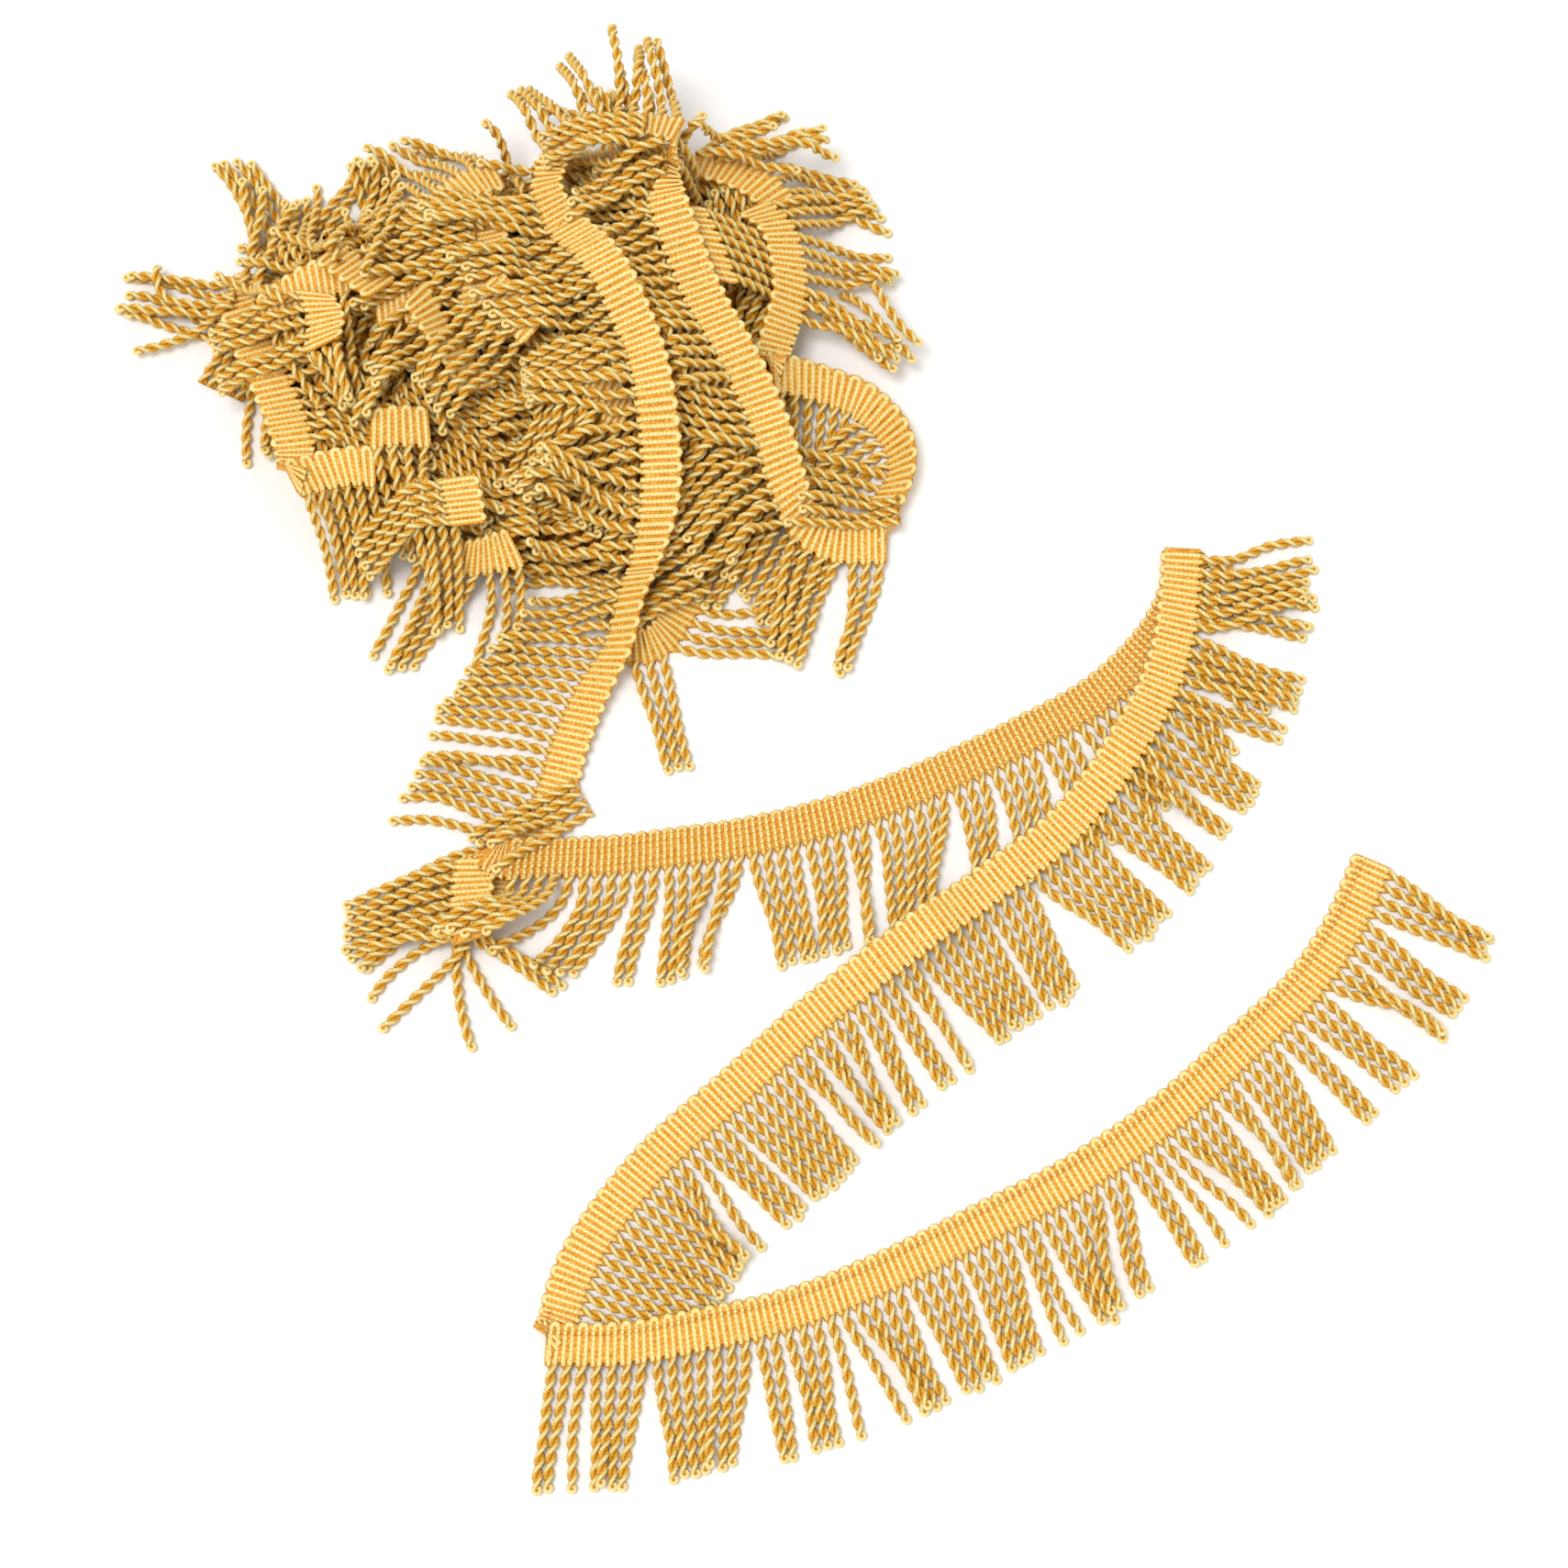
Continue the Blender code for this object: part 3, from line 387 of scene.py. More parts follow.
class Ground:
    """A height map of all that lies on the table so far."""

    def __init__(self):
        self.size = int(2 * MAP_REACH / MAP_CELL)
        self.height = np.zeros((self.size, self.size))
        reach = int(CORD_CONTACT / MAP_CELL) + 1
        di, dj = np.meshgrid(np.arange(-reach, reach + 1), np.arange(-reach, reach + 1), indexing="ij")
        away = np.hypot(di, dj) * MAP_CELL
        near = away < CORD_CONTACT
        self.under = (di[near], dj[near])
        self.lift = np.sqrt(CORD_CONTACT**2 - away[near] ** 2)

    def cells(self, points):
        """The map's cells at points of the table."""
        last = self.size - 1 - MAP_MARGIN
        places = ((np.asarray(points[:, c]) + MAP_REACH) / MAP_CELL for c in (0, 1))
        return [np.clip(place.astype(int), MAP_MARGIN, last) for place in places]

    def under_cord(self, points):
        """The cells under a round cord at each point."""
        i, j = self.cells(points)
        return i[:, None] + self.under[0], j[:, None] + self.under[1]

    def contact(self, points):
        """How high the middle of a cord lies over each point."""
        return (self.height[self.under_cord(points)] + self.lift).max(axis=1)

    def cover_cord(self, points):
        """Raises the map to a cord's upper side."""
        steps = np.arange(0, len(points) - 1 + 1e-6, 0.3)
        dense = sample(steps, np.arange(len(points)), points)
        np.maximum.at(self.height, self.under_cord(dense), dense[:, 2][:, None] + self.lift)

    def cover_patch(self, a, b, c, d, lift):
        """Raises the map to the four-cornered patch a, b, c, d."""
        u, v = (w.reshape(-1, 1) for w in np.meshgrid(np.linspace(0, 1, 14), np.linspace(0, 1, 36)))
        points = (a * (1 - v) + b * v) * (1 - u) + (d * (1 - v) + c * v) * u
        np.maximum.at(self.height, tuple(self.cells(points)), points[:, 2] + lift)


def smooth_rows(rows):
    """Stations one hairpin apart on a smooth curve through a strip's rows."""
    table = np.array(rows, float)
    middle = table[:, :2] + 0.5 * HEADING_WIDTH * compass(table[:, 2])
    knots = running(np.sqrt(gaps(middle)))
    fine = np.linspace(0, knots[-1], CURVE_STEPS * len(rows))
    slopes = np.gradient(table, knots, axis=0)
    k = np.clip(np.searchsorted(knots, fine, side="right") - 1, 0, len(rows) - 2)
    span = (knots[k + 1] - knots[k])[:, None]
    f = (fine - knots[k])[:, None] / span
    dense = (
        (2 * f**3 - 3 * f**2 + 1) * table[k]
        + (f**3 - 2 * f**2 + f) * span * slopes[k]
        + (3 * f**2 - 2 * f**3) * table[k + 1]
        + (f**3 - f**2) * span * slopes[k + 1]
    )
    dense[:, 3] = np.clip(dense[:, 3], 0, STEEPEST_BAND * HEADING_WIDTH)
    travelled = running(gaps(dense[:, :2] + PITCH_LINE * HEADING_WIDTH * compass(dense[:, 2])))
    count = max(2, round(travelled[-1] / HAIRPIN_PITCH))
    return sample(np.linspace(0, travelled[-1], count + 1), travelled, dense)


def resting_heights(stations, ground, lowest):
    """How high the underside of each station's cord edge lies, to clear what the band and roots cover."""
    reach = np.sqrt(HEADING_WIDTH**2 - stations[:, 3] ** 2)
    aims = compass(stations[:, 2])
    need = np.zeros(len(stations))
    for k in range(len(stations)):
        away = np.arange(-0.5, reach[k] + COMB_REACH, MAP_CELL)
        for side in (-0.5, 0.0, 0.5):
            other = min(max(k + int(math.copysign(1, side)) if side else k, 0), len(stations) - 1)
            start = stations[k, :2] * (1 - abs(side)) + stations[other, :2] * abs(side)
            height = ground.height[tuple(ground.cells(start + away[:, None] * aims[k]))]
            rise = stations[k, 3] * np.clip(1 - away / reach[k], 0, 1)
            beyond = STEEPEST_CLIMB * np.clip(away - reach[k] - LEVEL_ROOT, 0, None)
            wanted = np.where(height > 0, height - rise - beyond - BAND_SINK, 0)
            need[k] = max(need[k], wanted.max())
    need[0] = max(need[0], lowest)
    low = need.copy()
    for _ in range(8):
        low = np.maximum(need, softened(np.concatenate([low[:1], low, low[-1:]])))
    return low


def band_edges(stations, low):
    """Mid-plane points of the hairpin edge and of the cord edge."""
    reach = np.sqrt(HEADING_WIDTH**2 - stations[:, 3] ** 2)
    level = low + RIB_RADIUS * RIB_FLATNESS
    cord_xy = stations[:, :2] + reach[:, None] * compass(stations[:, 2])
    hairpins = np.column_stack([stations[:, :2], level + stations[:, 3]])
    return hairpins, np.column_stack([cord_xy, level])


def crease_point(a, way_a, b, way_b):
    """Where an edge that leaves a meets itself as it comes back to b, or midway if it never does."""
    turn = way_a[0] * way_b[1] - way_a[1] * way_b[0]
    if abs(turn) > LEAST_CREASE_TURN:
        gap = b - a
        out = (gap[0] * way_b[1] - gap[1] * way_b[0]) / turn
        if 0 <= out <= 2 * HEADING_WIDTH and np.dot(b[:2] - (a[:2] + out * way_a[:2]), way_b[:2]) >= 0:
            return a[:2] + out * way_a[:2]
    return 0.5 * (a[:2] + b[:2])


def fold_between(before, after):
    """Pairs of edge points round the crease where the band folds over on itself."""
    (pin_a, cord_a, way_a), (pin_b, cord_b, way_b) = before, after
    outward = (way_a - way_b)[:2]
    outward = outward / max(np.linalg.norm(outward), 1e-6)
    pin = crease_point(pin_a, way_a, pin_b, way_b)
    cord = crease_point(cord_a, way_a, cord_b, way_b)
    pairs = []
    for step in range(FOLD_STEPS):
        turn = math.pi * step / (FOLD_STEPS - 1)
        share = (1 - math.cos(turn)) / 2
        bulge = 0.5 * FOLD_HEIGHT * math.sin(turn) * outward
        pairs.append((
            np.array([*(pin + bulge), pin_a[2] * (1 - share) + pin_b[2] * share]),
            np.array([*(cord + bulge), cord_a[2] * (1 - share) + cord_b[2] * share]),
        ))
    return pairs


def settle(plan, root_height, ground):
    """Heights along a cord that lies on what is below it, given its plan and the height of its root."""
    need = np.maximum(ground.contact(plan) - CORD_SINK, CORD_ON_FLOOR)
    need[:2] = CORD_CONTACT
    height = need.copy()
    height[0] = root_height
    for n in range(1, len(plan)):
        height[n] = max(height[n], height[n - 1] - STEEPEST_DROP * PATH_STEP)
    for n in range(len(plan) - 2, 0, -1):
        height[n] = max(height[n], height[n + 1] - STEEPEST_CLIMB * PATH_STEP)
    for _ in range(3):
        height[1:-1] = np.maximum(need[1:-1], softened(height))
        height[-1] = max(need[-1], min(height[-1], height[-2]))
    return height


def lock_paths(roots, root_heights, aims, hangs, bend, chance, ground):
    """Paths of the cords of one lock, which draw together towards their tips, with each cord's number."""
    count = len(roots)
    middle = (count - 1) / 2
    centre_root = roots.mean(axis=0)
    aim = aims.mean()
    hang = hangs.mean() + chance.normal(0, LOCK_SPREAD_DEGREES)
    bend = chance.normal(0, bend)
    steps = int(round(CORD_LENGTH / PATH_STEP)) + 1
    t = np.arange(steps) * PATH_STEP / CORD_LENGTH
    way = aim + (hang - aim) * ease(t / TURN_SHARE) + bend * np.sin(math.pi * t)
    moves = compass(way) * PATH_STEP
    centre = centre_root + np.concatenate([np.zeros((1, 2)), np.cumsum(moves[:-1], axis=0)])
    side = compass(way + 90)
    across = 1.0 if count == 1 else math.copysign(1.0, np.dot(roots[-1] - roots[0], compass(aim + 90)))
    gather = ease(t / GATHER_SHARE)[:, None]
    paths = []
    for n in chance.permutation(count):
        place = n - middle
        if chance.random() < STRAY_CHANCE:
            place += chance.choice([-STRAY_JUMP, STRAY_JUMP])
        wave = WAVE_SIZE * np.sin(2 * math.pi * (t * chance.uniform(0.7, 1.4) + chance.random())) * t
        offset = across * (place * TIP_SPACING) * side + wave[:, None] * side
        plan = centre + (1 - gather) * (roots[n] - centre_root) + gather * offset
        path = np.column_stack([plan, settle(plan, root_heights[n], ground)])
        ground.cover_cord(path)
        paths.append((n, path))
    return paths


class Template:
    """A small piece that is repeated along the trim: its points, faces and yarn values.

    Its kind is 0 for a cord and 1 for the band.
    """

    def __init__(self, made, kind):
        mesh = made.data
        self.points = np.array([v.co for v in mesh.vertices])
        self.faces = [tuple(p.vertices) for p in mesh.polygons]
        around = np.zeros(len(self.points) * 3)
        mesh.attributes["yarn"].data.foreach_get("vector", around)
        self.around = around.reshape(-1, 3)
        self.kind = np.full(len(self.points), kind)
        bpy.data.objects.remove(made, do_unlink=True)


def set_yarn_values(made, value_of):
    """Stores where each point lies on its yarn.

    The values are the cosine and sine of its turn round the yarn, from the side that faces out, and how
    many millimetres along the yarn it lies.
    """
    values = made.data.attributes.new("yarn", "FLOAT_VECTOR", "POINT")
    for vertex, item in zip(made.data.vertices, values.data):
        item.vector = value_of(vertex.co)


def round_yarn(co, centre, outward, aside, along):
    """The yarn values of a point, given the yarn's middle there and its outward and sideways directions."""
    away = np.array(co) - centre
    size = max(np.linalg.norm(away), 1e-9)
    return np.dot(away, outward) / size, np.dot(away, aside) / size, along


def select_only(*pieces):
    """Selects the given objects and nothing else, with the first one active."""
    bpy.ops.object.select_all(action="DESELECT")
    for piece in pieces:
        piece.select_set(True)
    bpy.context.view_layer.objects.active = pieces[0]


def join(pieces):
    """Joins objects into the first of them."""
    select_only(*pieces)
    bpy.ops.object.join()
    return pieces[0]


def apply_modifiers(made):
    """Applies an object's modifiers in their order."""
    select_only(made)
    for modifier in list(made.modifiers):
        bpy.ops.object.modifier_apply(modifier=modifier.name)


def apply_place():
    """Puts the selected object's place and turn into its mesh."""
    bpy.ops.object.transform_apply(location=True, rotation=True, scale=True)


def make_ply(side):
    """One straight ply of a cord along +Z: a short ring, arrayed."""
    bpy.ops.mesh.primitive_cylinder_add(
        vertices=PLY_SIDES, radius=PLY_RADIUS, depth=RING_STEP, end_fill_type="NOTHING",
        location=(side * PLY_OFFSET, 0, RING_STEP / 2), rotation=(0, 0, math.radians(30)),
    )
    ply = bpy.context.object
    apply_place()
    rings = ply.modifiers.new("rings", "ARRAY")
    rings.count = int(CORD_LENGTH / RING_STEP)
    rings.use_relative_offset = False
    rings.use_constant_offset = True
    rings.constant_offset_displace = (0, 0, RING_STEP)
    rings.use_merge_vertices = True
    rings.merge_threshold = 0.01
    apply_modifiers(ply)
    set_yarn_values(ply, lambda co: round_yarn(
        co, np.array([side * PLY_OFFSET, 0, co.z]), np.array([side, 0, 0]), np.array([0, 1, 0]), co.z))
    return ply


def make_cord_template():
    """One straight cord along +Y: two plies, twisted, with a closed loop at the tip."""
    cord = join([make_ply(side) for side in (1, -1)])
    twist = cord.modifiers.new("twist", "SIMPLE_DEFORM")
    twist.deform_method = "TWIST"
    twist.deform_axis = "Z"
    twist.angle = -2 * math.pi * CORD_LENGTH / TWIST_PITCH
    apply_modifiers(cord)
    bpy.ops.mesh.primitive_torus_add(
        major_radius=LOOP_RADIUS, minor_radius=LOOP_YARN, major_segments=9, minor_segments=6,
        location=(0, 0, LOOP_CENTRE), rotation=(math.radians(90), 0, 0),
    )
    loop = bpy.context.object
    apply_place()

    # Turns the loop's yarn values so that the ramp's painted highlight lies on its outer ring
    def loop_values(co):
        away = max(np.linalg.norm([co.x, 0, co.z - LOOP_CENTRE]), 1e-9)
        turn = LOOP_TURN + LOOP_TURN_SHARE * math.atan2(abs(co.y), away - LOOP_RADIUS)
        return math.cos(turn), math.sin(turn), CORD_LENGTH + math.atan2(co.x, co.z - LOOP_CENTRE)

    set_yarn_values(loop, loop_values)
    cord = join([cord, loop])
    cord.rotation_euler = (math.radians(-90), 0, 0)
    apply_place()
    return Template(cord, 0.0)


def make_hairpin_template():
    """One hairpin of the band, from its ribs' lower ends up to its turn: a bevelled path made a mesh."""
    bpy.ops.curve.primitive_nurbs_path_add()
    path = bpy.context.object
    curve = path.data
    curve.splines.clear()
    half = HAIRPIN_PITCH / 4
    rib = [(-half * RIB_DRAWN_IN, RIB_START), *[(-half, y) for y in RIB_POINTS]]
    turns = [math.radians(degrees) for degrees in (180, 140, 90, 40, 0)]
    top = -(HEADING_WIDTH - half - RIB_RADIUS * 0.9)
    bend = [(half * math.cos(turn), top - half * math.sin(turn)) for turn in turns]
    points = [*rib, *bend, *[(-x, y) for x, y in reversed(rib)]]
    spline = curve.splines.new("POLY")
    spline.points.add(len(points) - 1)
    for point, (x, y) in zip(spline.points, points):
        point.co = (x, y, 0, 1)
    curve.bevel_depth = RIB_RADIUS
    curve.bevel_resolution = 1
    curve.use_fill_caps = False
    select_only(path)
    bpy.ops.object.convert(target="MESH")
    hairpin = bpy.context.object
    line = np.array([(x, y, 0) for x, y in points])
    travelled = running(gaps(line))

    def values(co):
        here = np.array([co.x, co.y, 0])
        a, b = line[:-1], line[1:]
        share = np.clip(((here - a) * (b - a)).sum(1) / ((b - a) ** 2).sum(1), 0, 1)
        feet = a + share[:, None] * (b - a)
        k = int(np.argmin(np.linalg.norm(feet - here, axis=1)))
        return round_yarn(co, feet[k], *UP_AND_ASIDE, travelled[k] + share[k] * np.linalg.norm(b[k] - a[k]))

    set_yarn_values(hairpin, values)
    made = Template(hairpin, 1.0)
    made.points[:, 2] *= RIB_FLATNESS
    return made


def make_stitch(side, pillar):
    """One chain stitch on one rib of a hairpin."""
    y = -(pillar + FIRST_PILLAR) * (HEADING_WIDTH - PILLAR_MARGIN) / CHAIN_PILLARS
    bpy.ops.mesh.primitive_uv_sphere_add(
        segments=6, ring_count=4, radius=1.0, rotation=(0, 0, math.radians(STITCH_SLANT)),
        location=(side * HAIRPIN_PITCH / 4, y, STITCH_LIFT * RIB_RADIUS * RIB_FLATNESS), scale=STITCH_SIZE,
    )
    stitch = bpy.context.object
    middle = np.array(stitch.location)
    apply_place()
    set_yarn_values(stitch, lambda co: round_yarn(co, middle, *UP_AND_ASIDE, co.y))
    return stitch


def make_stitch_template(pillars):
    """The chain stitches that lie over one hairpin, in the given rows of the band's stitched face."""
    return Template(join([make_stitch(side, pillar) for pillar in pillars for side in (-1, 1)]), 1.0)


def new_object(name, points, faces, material):
    """A mesh object from points on the table top."""
    mesh = bpy.data.meshes.new(name)
    mesh.from_pydata(((np.array(points) - CENTRE) * MM).tolist(), [], faces)
    mesh.materials.append(material)
    made = bpy.data.objects.new(name, mesh)
    bpy.context.scene.collection.objects.link(made)
    return made


def shade_smooth(mesh):
    mesh.polygons.foreach_set("use_smooth", np.ones(len(mesh.polygons), bool))


class Yarn:
    """Gathers deformed copies of the templates and makes them one mesh."""

    def __init__(self):
        self.pieces = []
        self.faces = []
        self.total = 0

    def add(self, template, points, tone, painted_shade_shift=0.0):
        """Adds a copy of a template with its own points, tone and painted shade: a shift along a rib's
        colour ramp, darker where positive and towards the painted highlight where negative.
        """
        size = len(points)
        self.faces.extend(tuple(v + self.total for v in face) for face in template.faces)
        self.pieces.append(
            (points, template.around, template.kind, np.full(size, painted_shade_shift), np.full(size, tone)))
        self.total += size

    def make(self, name, material):
        """Makes the gathered copies one object."""
        points, *values = (np.concatenate(parts) for parts in zip(*self.pieces))
        made = new_object(name, points, self.faces, material)
        mesh = made.data
        for key, part in zip(("yarn", "kind", "shade", "tone"), values):
            kind, field = ("FLOAT_VECTOR", "vector") if key == "yarn" else ("FLOAT", "value")
            items = mesh.attributes.new(key, kind, "POINT").data
            items.foreach_set(field, part.ravel().astype(np.float32))
        shade_smooth(mesh)
        mesh.update()
        return made


def bend_along(template, path, length):
    """The cord template laid along a path, cut or drawn out to its length."""
    travelled = running(gaps(path))
    tangents = np.gradient(path, travelled, axis=0)
    tangents /= np.linalg.norm(tangents, axis=1)[:, None]
    ups = np.array([0, 0, 1.0]) - tangents[:, 2:3] * tangents
    ups /= np.maximum(np.linalg.norm(ups, axis=1)[:, None], 1e-6)
    sides = np.cross(ups, tangents)
    x, y, z = template.points.T
    y = y * length / CORD_LENGTH
    held = np.clip(y, 0, travelled[-1])
    at_path, along, aside, up = (sample(held, travelled, part) for part in (path, tangents, sides, ups))
    return at_path + (y - held)[:, None] * along + x[:, None] * aside + z[:, None] * up


def bend_over_band(template, pin_a, cord_a, pin_b, cord_b):
    """A band template laid on the stretch of band between two stations."""
    across = (template.points[:, 0] / HAIRPIN_PITCH + 0.5)[:, None]
    up = (-template.points[:, 1] / HEADING_WIDTH)[:, None]
    place = (cord_a * (1 - up) + pin_a * up) * (1 - across) + (cord_b * (1 - up) + pin_b * up) * across
    normal = np.cross(0.5 * (cord_a + cord_b) - 0.5 * (pin_a + pin_b), (pin_b + cord_b) - (pin_a + cord_a))
    normal = normal / max(np.linalg.norm(normal), 1e-6)
    if normal[2] < 0:
        normal = -normal
    return place + template.points[:, 2:3] * normal


class Trim:
    """Lays strips of trim: a tape, and on it hairpins, chain stitches and cords."""

    def __init__(self, ground, chance):
        self.ground = ground
        self.stitches = make_stitch_template(range(CHAIN_PILLARS))
        self.dots = make_stitch_template([CHAIN_PILLARS - 2])
        self.cord = make_cord_template()
        self.hairpin = make_hairpin_template()
        self.chance = chance
        self.bend = BEND_IN_HEAP

    def lay(self, strips, yarn_for):
        """Lays strips that are one continuous band. Returns the tape's pairs of edge points."""
        pairs = []
        previous = None
        for strip in strips:
            yarn = yarn_for(strip)
            self.bend = BEND_IN_RUNS if strip.name in CALM_STRIPS else BEND_IN_HEAP
            stations = smooth_rows(strip.rows)
            folded = previous and strip.joint == "fold"
            low = resting_heights(stations, self.ground, previous[3] + FOLD_HEIGHT if folded else 0.0)
            hairpins, cord_edge = band_edges(stations, low)
            middle = (hairpins + cord_edge) / 2
            fold = []
            if folded:
                way = (middle[1] - middle[0]) * (1, 1, 0)
                fold = fold_between(previous[:3], (hairpins[0], cord_edge[0], way / np.linalg.norm(way)))
            if previous:
                self.cover_gap(yarn, strip, [previous[:2], *fold, (hairpins[0], cord_edge[0])])
            pairs.extend(fold)
            pairs.extend(zip(hairpins, cord_edge))
            self.lay_cords(yarn, stations, cord_edge)
            for k in range(len(stations) - 1):
                self.lay_hairpin(yarn, strip, hairpins[k], cord_edge[k], hairpins[k + 1], cord_edge[k + 1])
            way = (middle[-1] - middle[-2]) * (1, 1, 0)
            previous = (hairpins[-1], cord_edge[-1], way / np.linalg.norm(way), low[-1])
        return pairs

    def cover_gap(self, yarn, strip, pairs):
        """Hairpins on a short stretch of band that has no cords, as on a fold, given its edge points."""
        edges = np.array(pairs)
        travelled = running(np.linalg.norm(np.diff(edges, axis=0), axis=2).max(axis=1))
        at = np.linspace(0, travelled[-1], round(travelled[-1] / HAIRPIN_PITCH) + 1)
        pins, cords = (sample(at, travelled, edges[:, e]) for e in (0, 1))
        for n in range(len(at) - 1):
            self.lay_hairpin(yarn, strip, pins[n], cords[n], pins[n + 1], cords[n + 1])

    def lay_hairpin(self, yarn, strip, pin_a, cord_a, pin_b, cord_b):
        """One hairpin between two stations, with the stitches of the strip's face over it."""
        corners = (pin_a, cord_a, pin_b, cord_b)
        tone = self.chance.random()
        # Ribs under chain stitches get painted shade, and the stitches a wider painted highlight
        under = SHADE_UNDER_STITCHES if strip.face == "stitched" else 0.0
        yarn.add(self.hairpin, bend_over_band(self.hairpin, *corners), tone, under)
        over = {"stitched": self.stitches, "dotted": self.dots}.get(strip.face)
        if over:
            yarn.add(over, bend_over_band(over, *corners), tone, HIGHLIGHT_ON_STITCHES)
        self.ground.cover_patch(pin_a, cord_a, cord_b, pin_b, RIB_RADIUS * RIB_FLATNESS)

    def lay_cords(self, yarn, stations, cord_edge):
        """The cords of a strip, in locks of a few."""
        roots, heights = midway(cord_edge[:, :2]), midway(cord_edge[:, 2])
        aims, hangs = midway(stations[:, 2]), midway(stations[:, 4])
        first = 0
        while first < len(roots):
            last = min(first + int(self.chance.choice(LOCK_SIZES)), len(roots))
            if len(roots) - last == 1:
                last = len(roots)
            self.lay_lock(yarn, *(part[first:last] for part in (roots, heights, aims, hangs)))
            first = last

    def lay_row(self, yarn, start, way, turn, count, spacing):
        """A lock that is rooted on what lies there, in a row across its way."""
        places = (np.arange(count) - (count - 1) / 2)[:, None]
        spots = start + places * spacing * compass(way + 90)
        aims = np.full(count, float(way))
        self.lay_lock(yarn, spots, self.ground.contact(spots), aims, aims + turn)

    def lay_lock(self, yarn, roots, heights, aims, hangs):
        """A lock of cords from the given roots."""
        lengths = CORD_LENGTH * (1 + self.chance.normal(0, LENGTH_SPREAD, len(roots)))
        for n, path in lock_paths(roots, heights, aims, hangs, self.bend, self.chance, self.ground):
            yarn.add(self.cord, bend_along(self.cord, path, lengths[n]), self.chance.random())

    def lay_stray(self, yarn, x, y, via_x, via_y, tip_x, tip_y, height):
        """A single cord that comes out of the heap and goes by way of a point to its tip."""
        start, via, tip = np.array([(x, y), (via_x, via_y), (tip_x, tip_y)], float)
        share = np.linspace(0, 1, STRAY_POINTS)[:, None]
        bow = via + 0.5 * (via - 0.5 * (start + tip))
        line = start * (1 - share) ** 2 + 2 * bow * share * (1 - share) + tip * share**2
        first = (line[0] - line[1]) / np.linalg.norm(line[0] - line[1])
        hidden = max(CORD_LENGTH - gaps(line).sum(), 0.5)
        line = np.concatenate([[line[0] + first * hidden], line])
        travelled = running(gaps(line))
        at = np.linspace(0, travelled[-1], int(travelled[-1] / PATH_STEP) + 1)
        plan = sample(at, travelled, line)
        need = np.maximum(self.ground.contact(plan), CORD_ON_FLOOR)
        heights = np.maximum(need, np.where(at < hidden, need, height))
        for _ in range(6):
            heights[1:-1] = np.maximum(need[1:-1], softened(heights))
        path = np.column_stack([plan, heights])
        length = max(travelled[-1], CORD_LENGTH)
        self.ground.cover_cord(path)
        yarn.add(self.cord, bend_along(self.cord, path, length), self.chance.random())


def make_tape(name, chains, material):
    """The band's ground: a thin tape between its two edges, one stretch for each chain of stations."""
    points = []
    faces = []
    length = 0.0
    for pairs in chains:
        start = len(points)
        for pin, cord in pairs:
            across = cord - pin
            points += [pin + TAPE_INSETS[0] * across, cord - TAPE_INSETS[1] * across]
        for a in range(start, len(points) - 2, 2):
            faces.append((a, a + 1, a + 3, a + 2))
        middles = [0.5 * (pin + cord) for pin, cord in pairs]
        for here, there in zip(middles, middles[1:]):
            length += np.linalg.norm(there - here)
    tape = new_object(name, points, faces, material)
    thick = tape.modifiers.new("thickness", "SOLIDIFY")
    thick.thickness = TAPE_THICKNESS * MM
    thick.offset = 0.0
    apply_modifiers(tape)
    return tape, length


def heap_line(inset):
    """A smooth closed line through the heap's outline points, drawn in, as seen from the heap's middle."""
    outline = np.array(HEAP_OUTLINE, float)
    line = []
    for k in range(len(outline)):
        a, b, c, d = (outline[(k + n) % len(outline)] for n in (-1, 0, 1, 2))
        for step in range(CORE_SPOKES_PER_POINT):
            f = step / CORE_SPOKES_PER_POINT
            line.append(0.5 * (2 * b + (c - a) * f + (2 * a - 5 * b + 4 * c - d) * f**2
                               + (3 * b - a - 3 * c + d) * f**3))
    return (np.array(line) - HEAP_MIDDLE) * inset


def inside_rim(x, y):
    """How far points of the table lie inside the core's rim."""
    rim_x, rim_y = heap_line(CORE_INSET).T
    x, y = x - HEAP_MIDDLE[0], y - HEAP_MIDDLE[1]
    radius = np.interp(
        np.arctan2(y, x), np.arctan2(rim_y, rim_x), np.hypot(rim_x, rim_y), period=2 * math.pi)
    return radius - np.hypot(x, y)


def core_height(x, y):
    """Height of the heap's core over points of the table."""
    total = np.zeros(np.shape(x))
    for lump_x, lump_y, reach_x, reach_y, height in SWELLINGS:
        away = ((x - lump_x) / reach_x) ** 2 + ((y - lump_y) / reach_y) ** 2
        total += (height * np.maximum(0.0, 1 - away) ** 0.8) ** SWELLING_BLEND
    steepest = CORE_RIM_HEIGHT + CORE_SLOPE * np.maximum(inside_rim(x, y), 0)
    return np.clip(total ** (1 / SWELLING_BLEND), CORE_RIM_HEIGHT, steepest)


